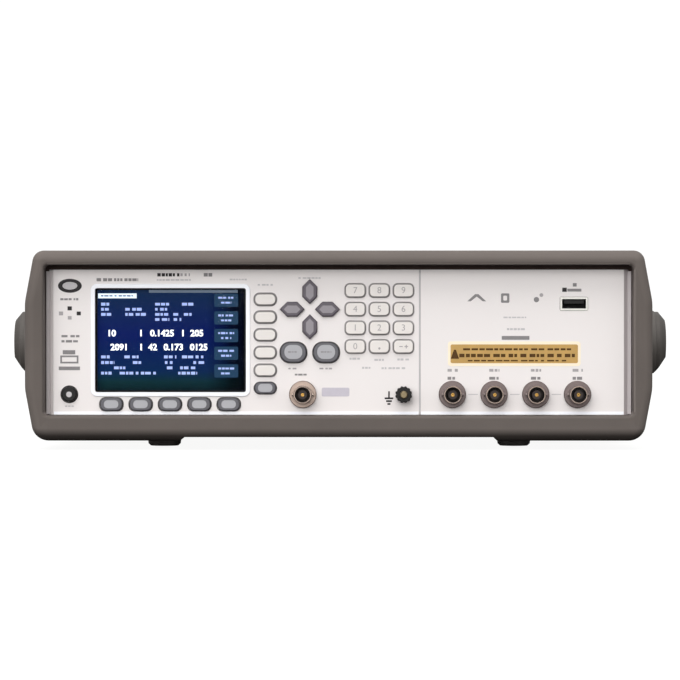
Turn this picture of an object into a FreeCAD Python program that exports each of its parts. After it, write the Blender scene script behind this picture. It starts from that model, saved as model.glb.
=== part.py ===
import FreeCAD, Part

# A bench LCR meter in a 2U cabinet: a white front panel with a colour display, thirty push keys and four
# BNC test terminals, framed by rubber bumpers, with a carrying handle that swings on two side hubs.
#
# Row frame, in millimetres: +X to the user's right, +Y from the front panel to the rear, +Z up.
# The origin is the centre of the footprint, on the bench. The front faces -Y.
# Lengths are formulas over the aliases of the sheet "dims".

import math
import os
import re

import Sketcher

os.makedirs("parts", exist_ok=True)
doc = FreeCAD.newDocument("lcr_meter")
Vector = FreeCAD.Vector

DIMENSIONS = {
    # the whole meter
    "meter_width": 376,  # over the two hub caps
    "meter_height": 105,
    "meter_depth": 390,  # from the front bumper to the stowed handle's grip
    "pivot_setback": 182,  # from either bumper's outer face to the handle's axis
    # bumpers
    "bumper_width": 330,
    "bumper_rise": 5,  # its lower edge above the bench
    "bumper_wall": 6,
    "bumper_length": 45,
    "bumper_top_corner": 6,
    "bumper_bottom_corner": 9,
    "bumper_taper": 5,  # how far each side leans in between its upright stretch and the top or bottom
    "bumper_upright": 46,  # height of the upright stretch
    "bumper_knee_radius": 25,
    "front_opening_width": 309.6,
    "front_opening_low": 18.2,
    "front_opening_high": 97.5,
    "rear_lip": 8,
    "rear_opening_width": 302,
    "rear_opening_low": 16,
    "rear_opening_high": 94,
    "bumper_edge_radius": 5.5,
    "bumper_inner_radius": 1.5,
    "foot_pad_gap": 164,  # width of the shallow relief under each bumper
    "foot_pad_relief": 2,
    # cabinet
    "cabinet_corner": 5,
    "sheet_metal": 1.2,
    "cover_gap": 0.4,
    "tray_side": 25,
    "tray_end": 12,
    "cover_flange": 12,
    "standoff_radius": 3,
    "slot_width": 3,
    "slot_height": 26,
    "slot_pitch": 7,
    "slot_low": 26,
    "slot_row_gap": 32,
    "slots_per_bank": 11,
    # front panel
    "panel_recess": 12,
    "panel_plate": 3,
    "bezel_rim": 8,
    "bezel_rim_depth": 12,
    "panel_width": 306,
    "panel_low": 18.4,
    "panel_high": 95,
    "panel_seam": 42.9,
    "seam_gap": 0.5,
    "seam_ledge": 4,
    "ledge_plate": 2,
    "side_bevel": 2.4,
    # display
    "screen_width": 79.8,
    "screen_height": 55,
    "screen_centre": -88.8,
    "screen_middle": 57.8,
    "screen_corner": 1.2,
    "window_sink": 0.9,
    "module_width": 83.6,
    "module_height": 58,
    "module_depth": 8,
    "rim_width": 2.2,
    "rim_rise": 0.7,
    # keys
    "key_gap": 0.2,  # all round a cap in its opening
    "key_flange": 1,
    "flange_reach": 0.5,
    "key_edge": 0.7,
    "stem_radius": 1.6,
    "stem_length": 3.4,
    "soft_width": 11.2,
    "soft_height": 6,
    "soft_corner": 2.7,
    "soft_column": -38.7,
    "soft_first": 79.3,
    "soft_pitch": 9.36,
    "soft_rise": 1.6,
    "menu_width": 11.8,
    "menu_height": 6.8,
    "menu_corner": 3.1,
    "menu_row": 23.9,
    "menu_first": -120,
    "menu_pitch": 15.5,
    "menu_rise": 2,
    "arrow_length": 13,
    "arrow_width": 7.6,
    "arrow_centre": -15.2,
    "arrow_middle": 74.1,
    "arrow_reach": 9.3,
    "arrow_rise": 2,
    "action_width": 13.6,
    "action_height": 10.6,
    "action_corner": 5,
    "action_row": 51.3,
    "action_pitch": 17.3,
    "action_rise": 2.2,
    "digit_width": 10.6,
    "digit_height": 7,
    "digit_corner": 2.4,
    "digit_column": 8.8,
    "digit_row": 84,
    "digit_pitch_across": 12.7,
    "digit_pitch_down": 9.85,
    "digit_rise": 1.8,
    "power_radius": 3.9,
    "power_rise": 2.4,
    "power_centre": -142.2,
    # connectors on the front
    "connector_row": 29.2,
    "test_first": 60,
    "test_pitch": 22,  # the standard spacing of four-terminal-pair fixtures
    "barrel_radius": 4.8,
    "barrel_bore": 4.1,
    "barrel_length": 11.5,
    "collar_radius": 7.2,
    "collar_plate": 2,
    "shank_radius": 5.9,
    "shank_length": 13,
    "shank_gap": 0.2,
    "shank_nut_radius": 6.9,
    "shank_nut_plate": 2.5,
    "lug_radius": 1,
    "lug_reach": 5.7,
    "lug_place": 7.5,
    "insulator_radius": 2.4,
    "contact_radius": 0.9,
    "contact_bore": 0.5,
    "bias_centre": -18.9,
    "ground_centre": 34.3,
    "stud_radius": 2,
    "stud_gap": 0.05,
    "nut_radius": 4.4,
    "nut_length": 8,
    "usb_centre": 124.2,
    "usb_middle": 77,
    "usb_width": 14.6,
    "usb_height": 7,
    "usb_wall": 1,
    # handle
    "hub_radius": 20,
    "hub_plate": 6.5,
    "boss_radius": 9,
    "boss_gap": 0.05,
    "eye_radius": 18.2,
    "eye_gap": 0.5,
    "eye_width": 16,
    "cap_face_radius": 13,
    "cap_flat_drop": 8.5,  # from the axis down to the start of the sloping flat
    "cap_flat_depth": 7,
    "arm_thick": 10,
    "arm_height": 26,
    "arm_offset": 174,  # from the middle plane to the middle of an arm
    "bar_reach": 200,  # from the pivot to the middle of the bar
    "bar_corner": 34,
    "arm_edge": 3,
    "grip_length": 130,
    "grip_thick": 16,
    "grip_height": 30,
    # rear
    "rear_plate": 2,
    "fan_centre": -52,
    "fan_middle": 55,
    "fan_size": 60,
    "fan_depth": 15,
    "duct_radius": 28.5,
    "blade_tip": 27.2,
    "rotor_hub": 12,
    "blade_plate": 1.4,
    "blade_chord": 9,
    "fan_pin": 1.5,
    "inlet_centre": -120,
    "inlet_middle": 42,
    "inlet_width": 56,
    "inlet_height": 31,
    "inlet_flange": 2.5,
    "inlet_depth": 24,
    "socket_width": 24.5,
    "socket_height": 17,
    "socket_depth": 16,
    "socket_shift": 10.2,
    "drawer_shift": 12.8,
    "drawer_width": 17,
    "drawer_height": 22,
    "drawer_depth": 20,
    # feet and screws
    "foot_offset": 95,
    "foot_front": -130,
    "foot_rear": 104,
    "foot_radius": 10,
    "foot_bore": 4,
    "screw_radius": 1.5,
    "screw_head": 3,
    "screw_head_rise": 1.9,
    # electronics
    "board_plate": 1.6,
    "board_height": 20,
    "keyboard_setback": 9,  # from the panel's back to the circuit board behind the keys
    "boss_pillar": 2,
    "switch_size": 6,
    "switch_rise": 3.2,
}

sheet = doc.addObject("Spreadsheet::Sheet", "dims")
for row, (alias, amount) in enumerate(DIMENSIONS.items(), start=1):
    sheet.set(f"A{row}", alias)
    sheet.set(f"B{row}", str(amount))
    sheet.setAlias(f"B{row}", alias)
doc.recompute()

# Places that follow from the driving dimensions.
FRONT = "(-meter_depth / 2)"
PIVOT = f"({FRONT} + pivot_setback)"
REAR = f"({PIVOT} + pivot_setback)"
FLOOR = "(bumper_rise + bumper_wall)"
TOP = "(meter_height - bumper_wall)"
MIDDLE = "((bumper_rise + meter_height) / 2)"
CABINET_WIDTH = "(bumper_width - 2 * bumper_wall)"
CABINET_HEIGHT = f"({TOP} - {FLOOR})"
PANEL_FACE = f"({FRONT} + panel_recess)"
PANEL_BACK = f"({PANEL_FACE} + panel_plate)"
BEZEL_BACK = f"({PANEL_BACK} + bezel_rim_depth)"
REAR_FACE = f"({REAR} - rear_lip)"
REAR_INSIDE = f"({REAR_FACE} - rear_plate)"
COVER_FRONT = f"({BEZEL_BACK} + 0.2)"
COVER_REAR = f"({REAR_INSIDE} - 0.2)"
TRAY_TOP = f"({FLOOR} + sheet_metal)"
BOARD_TOP = "(board_height + board_plate)"


# ---------------------------------------------------------------------------------------------------
# Helpers
# ---------------------------------------------------------------------------------------------------


def full(formula):
    """The formula with each alias written the way other objects must name it."""
    return re.sub(r"[a-z_]\w*", lambda m: f"dims.{m[0]}" if m[0] in DIMENSIONS else m[0], str(formula))


def number(formula):
    found = sheet.evalExpression(full(formula))
    return float(getattr(found, "Value", found))


def bind(item, **properties):
    for name, formula in properties.items():
        item.setExpression(name, full(formula))
    return item


def place(item, x="0", y="0", z="0"):
    for axis, formula in zip("xyz", (x, y, z)):
        item.setExpression(f"Placement.Base.{axis}", full(formula))
    return item


def box(label, x, y, z):
    """A block between two formulas along each axis."""
    item = doc.addObject("Part::Box", label)
    spans = [f"({high}) - ({low})" for low, high in (x, y, z)]
    bind(item, Length=spans[0], Width=spans[1], Height=spans[2])
    return place(item, x[0], y[0], z[0])


def middle_box(label, x, z, width, height, y):
    """A block centred on x and z, between two formulas along Y."""
    return box(
        label,
        (f"({x}) - ({width}) / 2", f"({x}) + ({width}) / 2"),
        y,
        (f"({z}) - ({height}) / 2", f"({z}) + ({height}) / 2"),
    )


TURNS = {
    "X": FreeCAD.Rotation(Vector(0, 1, 0), 90),
    "Y": FreeCAD.Rotation(Vector(1, 0, 0), -90),
    "Z": FreeCAD.Rotation(),
}


def rod(label, axis, start, radius, length):
    """A cylinder from its start point towards +X, +Y or +Z."""
    item = doc.addObject("Part::Cylinder", label)
    item.Placement = FreeCAD.Placement(Vector(), TURNS[axis])
    bind(item, Radius=radius, Height=length)
    return place(item, *start)


def cut(label, base, *tools):
    item = doc.addObject("Part::Cut", label)
    item.Base = base
    item.Tool = tools[0] if len(tools) == 1 else join(f"{label} tools", *tools)
    doc.recompute()
    if item.Shape.Volume > base.Shape.Volume - 1e-3:
        raise RuntimeError(f"{label}: the cut takes nothing away")
    return item


def join(label, *parts):
    item = doc.addObject("Part::MultiFuse", label)
    item.Shapes = list(parts)
    return item


def group(label, *parts):
    item = doc.addObject("Part::Compound", label)
    item.Links = list(parts)
    return item


def mirrored(label, source):
    """The same piece on the other side of the YZ plane."""
    item = doc.addObject("Part::Mirroring", label)
    item.Source = source
    item.Normal = Vector(1, 0, 0)
    return item


def rounded(label, base, radius, wanted):
    """Fillets the edges of base whose bounding box the test wants."""
    doc.recompute()
    item = doc.addObject("Part::Fillet", label)
    item.Base = base
    amount = number(radius)
    picks = [i for i, e in enumerate(base.Shape.Edges, start=1) if wanted(e.BoundBox)]
    if not picks:
        raise RuntimeError(f"{label}: no edge to round")
    item.Edges = [(i, amount, amount) for i in picks]
    return item


def along(axis):
    """A test for edges that run along one axis."""
    lengths = {"X": "XLength", "Y": "YLength", "Z": "ZLength"}
    others = [name for key, name in lengths.items() if key != axis]
    return lambda b: getattr(b, lengths[axis]) > 0.5 and all(getattr(b, o) < 1e-3 for o in others)


def body(label, x="0", y="0", z="0"):
    return place(doc.addObject("PartDesign::Body", label), x, y, z)


def sketch(owner, plane="XZ_Plane", offset="0"):
    """An empty sketch on one of the body's own planes, moved along its normal."""
    item = owner.newObject("Sketcher::SketchObject", f"{owner.Name}_sketch")
    origin = [f for f in owner.Origin.OriginFeatures if f.Role == plane][0]
    item.AttachmentSupport = (origin, [""])
    item.MapMode = "FlatFace"
    item.setExpression("AttachmentOffset.Base.z", full(offset))
    return item


def dimension(drawing, kind, *places, formula):
    """One dimension of a sketch, bound to the sheet. A place on an axis is a point-on-axis constraint."""
    amount = number(formula)
    if abs(amount) < 1e-9:
        axis = -2 if kind == "DistanceX" else -1
        drawing.addConstraint(Sketcher.Constraint("PointOnObject", *places[2:], axis))
        return
    index = drawing.addConstraint(Sketcher.Constraint(kind, *places, amount))
    drawing.setExpression(f"Constraints[{index}]", full(formula))


def fix_point(drawing, geometry, end, x, y):
    dimension(drawing, "DistanceX", -1, 1, geometry, end, formula=x)
    dimension(drawing, "DistanceY", -1, 1, geometry, end, formula=y)


def polygon(drawing, points):
    """A closed outline through points given as formulas."""
    spots = [Vector(number(x), number(y), 0) for x, y in points]
    count = len(spots)
    lines = [Part.LineSegment(spots[k], spots[(k + 1) % count]) for k in range(count)]
    sides = [drawing.addGeometry(line, False) for line in lines]
    joins = [Sketcher.Constraint("Coincident", sides[k], 2, sides[(k + 1) % count], 1) for k in range(count)]
    drawing.addConstraint(joins)
    for side, (x, y) in zip(sides, points):
        fix_point(drawing, side, 1, x, y)


def rectangle(drawing, x, z, width, height):
    left, right = f"({x}) - ({width}) / 2", f"({x}) + ({width}) / 2"
    low, high = f"({z}) - ({height}) / 2", f"({z}) + ({height}) / 2"
    polygon(drawing, [(left, low), (right, low), (right, high), (left, high)])


def rounded_rectangle(drawing, x, z, width, height, corner):
    """A rectangle centred on x and z whose four corners are arcs."""
    left, right = number(f"({x}) - ({width}) / 2"), number(f"({x}) + ({width}) / 2")
    low, high = number(f"({z}) - ({height}) / 2"), number(f"({z}) + ({height}) / 2")
    bend = number(corner)
    quarter = math.pi / 2

    def line(x1, y1, x2, y2):
        return drawing.addGeometry(Part.LineSegment(Vector(x1, y1, 0), Vector(x2, y2, 0)), False)

    def arc(cx, cy, turn):
        circle = Part.Circle(Vector(cx, cy, 0), Vector(0, 0, 1), bend)
        return drawing.addGeometry(Part.ArcOfCircle(circle, turn, turn + quarter), False)

    loop = [
        line(left + bend, low, right - bend, low),
        arc(right - bend, low + bend, -quarter),
        line(right, low + bend, right, high - bend),
        arc(right - bend, high - bend, 0),
        line(right - bend, high, left + bend, high),
        arc(left + bend, high - bend, quarter),
        line(left, high - bend, left, low + bend),
        arc(left + bend, low + bend, 2 * quarter),
    ]
    rules = [Sketcher.Constraint("Tangent", loop[k], 2, loop[(k + 1) % 8], 1) for k in range(8)]
    rules += [Sketcher.Constraint("Horizontal", loop[k]) for k in (0, 4)]
    rules += [Sketcher.Constraint("Vertical", loop[k]) for k in (2, 6)]
    rules += [Sketcher.Constraint("Equal", loop[1], loop[k]) for k in (3, 5, 7)]
    drawing.addConstraint(rules)
    index = drawing.addConstraint(Sketcher.Constraint("Radius", loop[1], bend))
    drawing.setExpression(f"Constraints[{index}]", full(corner))
    fix_point(drawing, loop[0], 1, f"({x}) - ({width}) / 2 + ({corner})", f"({z}) - ({height}) / 2")
    fix_point(drawing, loop[4], 1, f"({x}) + ({width}) / 2 - ({corner})", f"({z}) + ({height}) / 2")


def circle(drawing, x, z, radius):
    """A circle centred on x and z."""
    ring = Part.Circle(Vector(number(x), number(z), 0), Vector(0, 0, 1), number(radius))
    index = drawing.addGeometry(ring, False)
    rule = drawing.addConstraint(Sketcher.Constraint("Radius", index, number(radius)))
    drawing.setExpression(f"Constraints[{rule}]", full(radius))
    fix_point(drawing, index, 3, x, z)


def pad(owner, drawing, length, back=False):
    """Adds material forwards from the sketch, or backwards."""
    item = owner.newObject("PartDesign::Pad", f"{owner.Name}_pad")
    item.Profile = drawing
    item.Reversed = back
    return bind(item, Length=length)


def pocket(owner, drawing, both=True, back=True):
    """Cuts right through, both ways or one way only."""
    doc.recompute()
    before = owner.Tip.Shape.Volume
    item = owner.newObject("PartDesign::Pocket", f"{owner.Name}_pocket")
    item.Profile = drawing
    item.Type = "ThroughAll"
    item.Midplane = both
    item.Reversed = not back
    doc.recompute()
    if item.Shape.Volume > before - 1e-3:
        raise RuntimeError(f"{owner.Label}: the pocket cuts nothing")
    return item


def pattern(owner, feature, axis, pitch, count, backwards=False):
    """Repeats one feature along one of the body's axes, count times."""
    item = owner.newObject("PartDesign::LinearPattern", f"{owner.Name}_row")
    item.Originals = [feature]
    item.Direction = ([f for f in owner.Origin.OriginFeatures if f.Role == axis][0], [""])
    item.Reversed = backwards
    item.Occurrences = count
    bind(item, Length=f"({pitch}) * {count - 1}")
    owner.Tip = item
    return item


def revolve(owner, drawing, axis):
    item = owner.newObject("PartDesign::Revolution", f"{owner.Name}_turned")
    item.Profile = drawing
    item.ReferenceAxis = (drawing, [axis])
    return item


def soften(owner, radius, wanted, kind="PartDesign::Fillet", size="Radius"):
    """Rounds, or chamfers, the edges of the body's last feature that the test wants."""
    doc.recompute()
    tip = owner.Tip
    names = [f"Edge{i}" for i, e in enumerate(tip.Shape.Edges, start=1) if wanted(e.BoundBox)]
    if not names:
        raise RuntimeError(f"{owner.Label}: no edge to soften")
    item = owner.newObject(kind, f"{owner.Name}_edge")
    item.Base = (tip, names)
    return bind(item, **{size: radius})


def chamfer(owner, radius, wanted):
    return soften(owner, radius, wanted, "PartDesign::Chamfer", "Size")


def flat_at(y):
    """A test for edges that lie in one plane across Y."""
    level = number(y)
    return lambda b: abs(b.YMin - level) < 1e-3 and abs(b.YMax - level) < 1e-3


# ---------------------------------------------------------------------------------------------------
# Bumpers and cabinet
# ---------------------------------------------------------------------------------------------------


def bumper(label, plane, backwards, lip, width, low, high):
    """A rubber frame pressed over one end of the cabinet, with a lip over the panel's edge.
    backwards is True for the front bumper, whose skirt runs towards +Y."""
    item = body(label, y=plane, z=MIDDLE)
    sign = 1 if backwards else -1
    outline = sketch(item)
    wide, narrow = "bumper_width / 2", "(bumper_width / 2 - bumper_taper)"
    knee, top = "bumper_upright / 2", "(meter_height - bumper_rise) / 2"
    right = [(narrow, f"-({top})"), (wide, f"-({knee})"), (wide, knee), (narrow, top)]
    polygon(outline, right + [(f"-({x})", z) for x, z in reversed(right)])
    pad(item, outline, "bumper_length", back=backwards)
    height = number(top)

    soften(item, "bumper_top_corner", lambda b: along("Y")(b) and abs(b.ZMin - height) < 1e-3)
    soften(item, "bumper_bottom_corner", lambda b: along("Y")(b) and abs(b.ZMin + height) < 1e-3)
    soften(item, "bumper_knee_radius", lambda b: along("Y")(b) and b.XMax**2 > number(wide) ** 2 - 1)
    seat = sketch(item, offset=f"{-sign} * ({lip})")
    rounded_rectangle(seat, "0", "0", CABINET_WIDTH, CABINET_HEIGHT, "cabinet_corner")
    pocket(item, seat, both=False, back=backwards)
    opening = sketch(item)
    centre = f"(({low}) + ({high})) / 2 - {MIDDLE}"
    rounded_rectangle(opening, "0", centre, width, f"({high}) - ({low})", "2.5")
    pocket(item, opening)
    half_width = number(f"({width}) / 2") + 1
    half_height = number(f"({high}) - ({low})") / 2 + 5
    face = flat_at("0")

    def inner(b):
        return b.XMin > -half_width and b.XMax < half_width and b.ZMin > -half_height and b.ZMax < half_height

    soften(item, "bumper_edge_radius", lambda b: face(b) and not inner(b))
    soften(item, "bumper_inner_radius", lambda b: face(b) and inner(b))
    relief = sketch(item)
    under = f"-({MIDDLE} - bumper_rise)"
    half = "foot_pad_gap / 2"
    polygon(
        relief,
        [
            (f"-({half}) - 2", f"{under} - 1"),
            (f"{half} + 2", f"{under} - 1"),
            (half, f"{under} + foot_pad_relief"),
            (f"-({half})", f"{under} + foot_pad_relief"),
        ],
    )
    pocket(item, relief)
    return item


def front_bumper():
    lip = "panel_recess + panel_plate"
    return bumper(
        "front_bumper", FRONT, True, lip, "front_opening_width", "front_opening_low", "front_opening_high"
    )


def rear_bumper():
    return bumper(
        "rear_bumper", REAR, False, "rear_lip", "rear_opening_width", "rear_opening_low", "rear_opening_high"
    )


def top_cover():
    """An inverted U of sheet metal: the roof and both sides, with vent slots."""
    half = f"({CABINET_WIDTH} / 2)"
    low = f"({FLOOR} + cabinet_corner)"
    outside = box("cover outside", (f"-{half}", half), (COVER_FRONT, COVER_REAR), (low, TOP))
    inside = box(
        "cover inside",
        (f"-{half} + sheet_metal", f"{half} - sheet_metal"),
        (f"{COVER_FRONT} - 1", f"{COVER_REAR} + 1"),
        (f"{low} - 1", f"{TOP} - sheet_metal"),
    )
    crown = number(TOP) - 10

    def bend(b):
        return along("Y")(b) and b.ZMin > crown

    outer = rounded("cover bend", outside, "cabinet_corner", bend)
    inner = rounded("cover inner bend", inside, "cabinet_corner - sheet_metal", bend)
    flange = box(
        "cover rear flange",
        (f"-{half} + cabinet_corner", f"{half} - cabinet_corner"),
        (f"{COVER_REAR} - sheet_metal", COVER_REAR),
        (f"{TOP} - cover_flange", f"{TOP} - sheet_metal / 2"),
    )
    shell = join("cover with flange", cut("cover shell", outer, inner), flange)
    slots = []
    for bank, first in enumerate((f"{PIVOT} - 118", f"{PIVOT} + 46")):
        for line in range(2):
            for k in range(int(number("slots_per_bank"))):
                y = f"{first} + {k} * slot_pitch"
                z = f"slot_low + {line} * slot_row_gap"
                slots.append(
                    box(
                        f"vent {bank}{line}{k}",
                        (f"-{half} - 1", f"{half} + 1"),
                        (y, f"{y} + slot_width"),
                        (z, f"{z} + slot_height"),
                    )
                )
    across, row = f"2 * {half} + 2", f"{FLOOR} + 8"
    holes = [
        rod(f"cover screw hole {k}", "X", (f"-{half} - 1", y, row), "screw_radius + 0.2", across)
        for k, y in enumerate(SIDE_SCREWS)
    ]
    holes += [
        rod(f"cover rear hole {k}", "Y", (x, f"{COVER_REAR} - 3", z), "screw_radius + 0.1", "4")
        for k, (x, z) in enumerate(REAR_SCREWS)
        if number(z) > number(MIDDLE)
    ]
    return cut("top_cover", shell, *slots, *holes)


SIDE_SCREWS = (f"{PIVOT} - 125", f"{PIVOT} + 125")


def chassis_tray():
    """The floor of the cabinet, with sides that stand inside the cover and pillars under the boards."""
    half = f"({CABINET_WIDTH} / 2 - sheet_metal - cover_gap)"
    rise = (FLOOR, f"{FLOOR} + tray_side")
    outside = box("tray outside", (f"-{half}", half), (COVER_FRONT, COVER_REAR), rise)
    inner_half = f"({half} - sheet_metal)"
    inside = box(
        "tray inside",
        (f"-{inner_half}", inner_half),
        (f"{COVER_FRONT} - 1", f"{COVER_REAR} + 1"),
        (TRAY_TOP, f"{FLOOR} + tray_side + 1"),
    )
    crease = number(FLOOR) + 5

    def bend(b):
        return along("Y")(b) and b.ZMin < crease

    outer = rounded("tray bend", outside, "cabinet_corner - sheet_metal - cover_gap", bend)
    inner = rounded("tray inner bend", inside, "cabinet_corner - 2 * sheet_metal - cover_gap", bend)
    ends = [
        box(
            f"tray end {k}",
            (f"-{inner_half} + 3", f"{inner_half} - 3"),
            (start, f"{start} + sheet_metal"),
            (f"{FLOOR} + sheet_metal / 2", f"{FLOOR} + tray_end"),
        )
        for k, start in enumerate((COVER_FRONT, f"({COVER_REAR} - sheet_metal)"))
    ]
    foot = f"({FLOOR} + sheet_metal / 2)"
    pillars = [
        rod(f"pillar {k}", "Z", (x, y, foot), "standoff_radius", f"board_height - {foot}")
        for k, (x, y) in enumerate(PILLARS)
    ]
    tray = join("tray with pillars", cut("tray channel", outer, inner), *ends, *pillars)
    holes = [
        rod(f"tray foot hole {k}", "Z", (x, y, f"{FLOOR} - 1"), "screw_radius + 0.7", "sheet_metal + 2")
        for k, (x, y) in enumerate(FOOT_PLACES)
    ]
    across, row = f"2 * {half} + 2", f"{FLOOR} + 8"
    holes += [
        rod(f"tray screw hole {k}", "X", (f"-{half} - 1", y, row), "screw_radius + 0.1", across)
        for k, y in enumerate(SIDE_SCREWS)
    ]
    holes += [
        rod(f"tray rear hole {k}", "Y", (x, f"{COVER_REAR} - 3", z), "screw_radius + 0.1", "4")
        for k, (x, z) in enumerate(REAR_SCREWS)
        if number(z) < number(MIDDLE)
    ]
    return cut("chassis_tray", tray, *holes)


PILLARS = [(x, y) for x in ("-143", "-67") for y in ("24", "124")]
PILLARS += [(x, y) for x in ("-46", "144") for y in ("16", "128")]
PILLARS += [(x, y) for x in ("53", "143") for y in ("-155", "-5")]
FOOT_PLACES = [(f"{side} * foot_offset", y) for side in (-1, 1) for y in ("foot_front", "foot_rear")]


def feet():
    """Four rubber feet, turned, each with a bore for its screw's head."""
    made = []
    for k, (x, y) in enumerate(FOOT_PLACES):
        item = body(f"foot {k}", x, y, "0")
        profile = sketch(item, "XZ_Plane")
        polygon(
            profile,
            [
                ("foot_bore", "0"),
                ("foot_radius - 2.5", "0"),
                ("foot_radius - 1.2", "1.2"),
                ("foot_radius", FLOOR),
                ("screw_radius + 0.6", FLOOR),
                ("screw_radius + 0.6", f"{FLOOR} - 3"),
                ("foot_bore", f"{FLOOR} - 3"),
            ],
        )
        revolve(item, profile, "V_Axis")
        made.append(item)
    return group("feet", *made)


def fixing_screws():
    """Foot screws, cover screws and rear-panel screws: pan heads on plain shanks."""
    made = []
    for k, (x, y) in enumerate(FOOT_PLACES):
        head = rod(f"foot screw head {k}", "Z", (x, y, f"{FLOOR} - 5"), "screw_head + 0.5", "2")
        shank = rod(f"foot screw shank {k}", "Z", (x, y, f"{FLOOR} - 3"), "screw_radius + 0.5", "6")
        made.append(join(f"foot screw {k}", head, shank))
    half = f"({CABINET_WIDTH} / 2)"
    for k, y in enumerate(SIDE_SCREWS):
        place_z = f"{FLOOR} + 8"
        head = rod(f"cover screw head {k}", "X", (half, y, place_z), "screw_head", "screw_head_rise")
        shank = rod(f"cover screw shank {k}", "X", (f"{half} - 6", y, place_z), "screw_radius", "6")
        solid = join(f"cover screw solid {k}", head, shank)
        right = rounded(f"cover screw {k}", solid, "0.8", outer_rim("X", f"{half} + screw_head_rise"))
        made += [right, mirrored(f"cover screw opposite {k}", right)]
    for k, (x, z) in enumerate(REAR_SCREWS):
        head = rod(f"rear screw head {k}", "Y", (x, REAR_FACE, z), "screw_head", "screw_head_rise")
        shank = rod(f"rear screw shank {k}", "Y", (x, f"{REAR_FACE} - 6", z), "screw_radius", "6")
        solid = join(f"rear screw solid {k}", head, shank)
        rim = outer_rim("Y", f"{REAR_FACE} + screw_head_rise")
        made.append(rounded(f"rear screw {k}", solid, "0.8", rim))
    return group("fixing_screws", *made)


def outer_rim(axis, place_formula):
    """A test for the circle at the outer end of a turned piece."""
    level = number(place_formula)
    low, high = f"{axis}Min", f"{axis}Max"
    return lambda b: abs(getattr(b, low) - level) < 1e-3 and abs(getattr(b, high) - level) < 1e-3


REAR_SCREWS = [(f"{x} * ({CABINET_WIDTH} / 2 - 16)", z) for x in (-1, 0, 1) for z in ("19.5", "90.4")]


# ---------------------------------------------------------------------------------------------------
# Keys
# ---------------------------------------------------------------------------------------------------

ACTION_LEFT = "(arrow_centre - action_pitch / 2)"
DIGITS = (
    ("key_7", "key_8", "key_9"),
    ("key_4", "key_5", "key_6"),
    ("key_1", "key_2", "key_3"),
    ("key_0", "key_point", "key_sign"),
)


def long_way(kind):
    """The outline of a key cap that grows by `extra` all round: a pill, an oval or a pointed lozenge."""

    def draw(drawing, x, z, extra):
        if kind in ("upright", "level"):
            far = f"(arrow_length / 2 + ({extra}))"
            half = f"(arrow_width / 2 + ({extra}))"
            shoulder = f"({far} - {half})"
            points = [("0", far), (half, shoulder), (half, f"-{shoulder}")]
            points += [("0", f"-{far}"), (f"-{half}", f"-{shoulder}"), (f"-{half}", shoulder)]
            if kind == "level":
                points = [(b, a) for a, b in reversed(points)]
            polygon(drawing, [(f"({x}) + ({a})", f"({z}) + ({b})") for a, b in points])
        else:
            width, height = (f"{kind}_{name} + 2 * ({extra})" for name in ("width", "height"))
            rounded_rectangle(drawing, x, z, width, height, f"{kind}_corner + ({extra})")

    return draw


def key_places():
    """Each key's name, outline, place on the panel and rise above its face."""
    for k in range(6):
        yield f"softkey_{k + 1}", "soft", "soft_column", f"soft_first - {k} * soft_pitch", "soft_rise"
    for k in range(5):
        yield f"menu_key_{k + 1}", "menu", f"menu_first + {k} * menu_pitch", "menu_row", "menu_rise"
    for name, dx, dz in (("up", 0, 1), ("down", 0, -1), ("left", -1, 0), ("right", 1, 0)):
        kind = "upright" if dz else "level"
        x = f"arrow_centre + {dx} * arrow_reach"
        z = f"arrow_middle + {dz} * arrow_reach"
        yield f"arrow_{name}", kind, x, z, "arrow_rise"
    yield "preset_key", "action", ACTION_LEFT, "action_row", "action_rise"
    yield "trigger_key", "action", f"{ACTION_LEFT} + action_pitch", "action_row", "action_rise"
    for line, names in enumerate(DIGITS):
        for column, name in enumerate(names):
            x = f"digit_column + {column} * digit_pitch_across"
            yield name, "digit", x, f"digit_row - {line} * digit_pitch_down", "digit_rise"


def key(name, kind, x, z, rise):
    """A moulded cap through the panel, with a flange that keeps it in and a stem for its switch."""
    item = body(name, x, f"{PANEL_BACK} + 0.05", z)
    draw = long_way(kind)
    cap = sketch(item)
    draw(cap, "0", "0", "0")
    pad(item, cap, f"panel_plate + 0.05 + {rise}")
    soften(item, "key_edge", flat_at(f"-(panel_plate + 0.05 + {rise})"))
    flange = sketch(item)
    draw(flange, "0", "0", "flange_reach")
    pad(item, flange, "key_flange", back=True)
    stem = sketch(item)
    circle(stem, "0", "0", "stem_radius")
    pad(item, stem, "key_flange + stem_length", back=True)
    return item


def power_button():
    """A round button whose cap stands in a hole of the panel."""
    item = body("power_button", "power_centre", f"{PANEL_BACK} + 0.05", "connector_row")
    for radius, length, back in (
        ("power_radius", "panel_plate + 0.05 + power_rise", False),
        ("power_radius + 1.2", "key_flange", True),
        ("stem_radius + 0.4", "key_flange + stem_length - 0.8", True),
    ):
        drawing = sketch(item)
        circle(drawing, "0", "0", radius)
        pad(item, drawing, length, back=back)
    soften(item, "key_edge", flat_at("-(panel_plate + 0.05 + power_rise)"))
    return item


# ---------------------------------------------------------------------------------------------------
# Front panel
# ---------------------------------------------------------------------------------------------------


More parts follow.
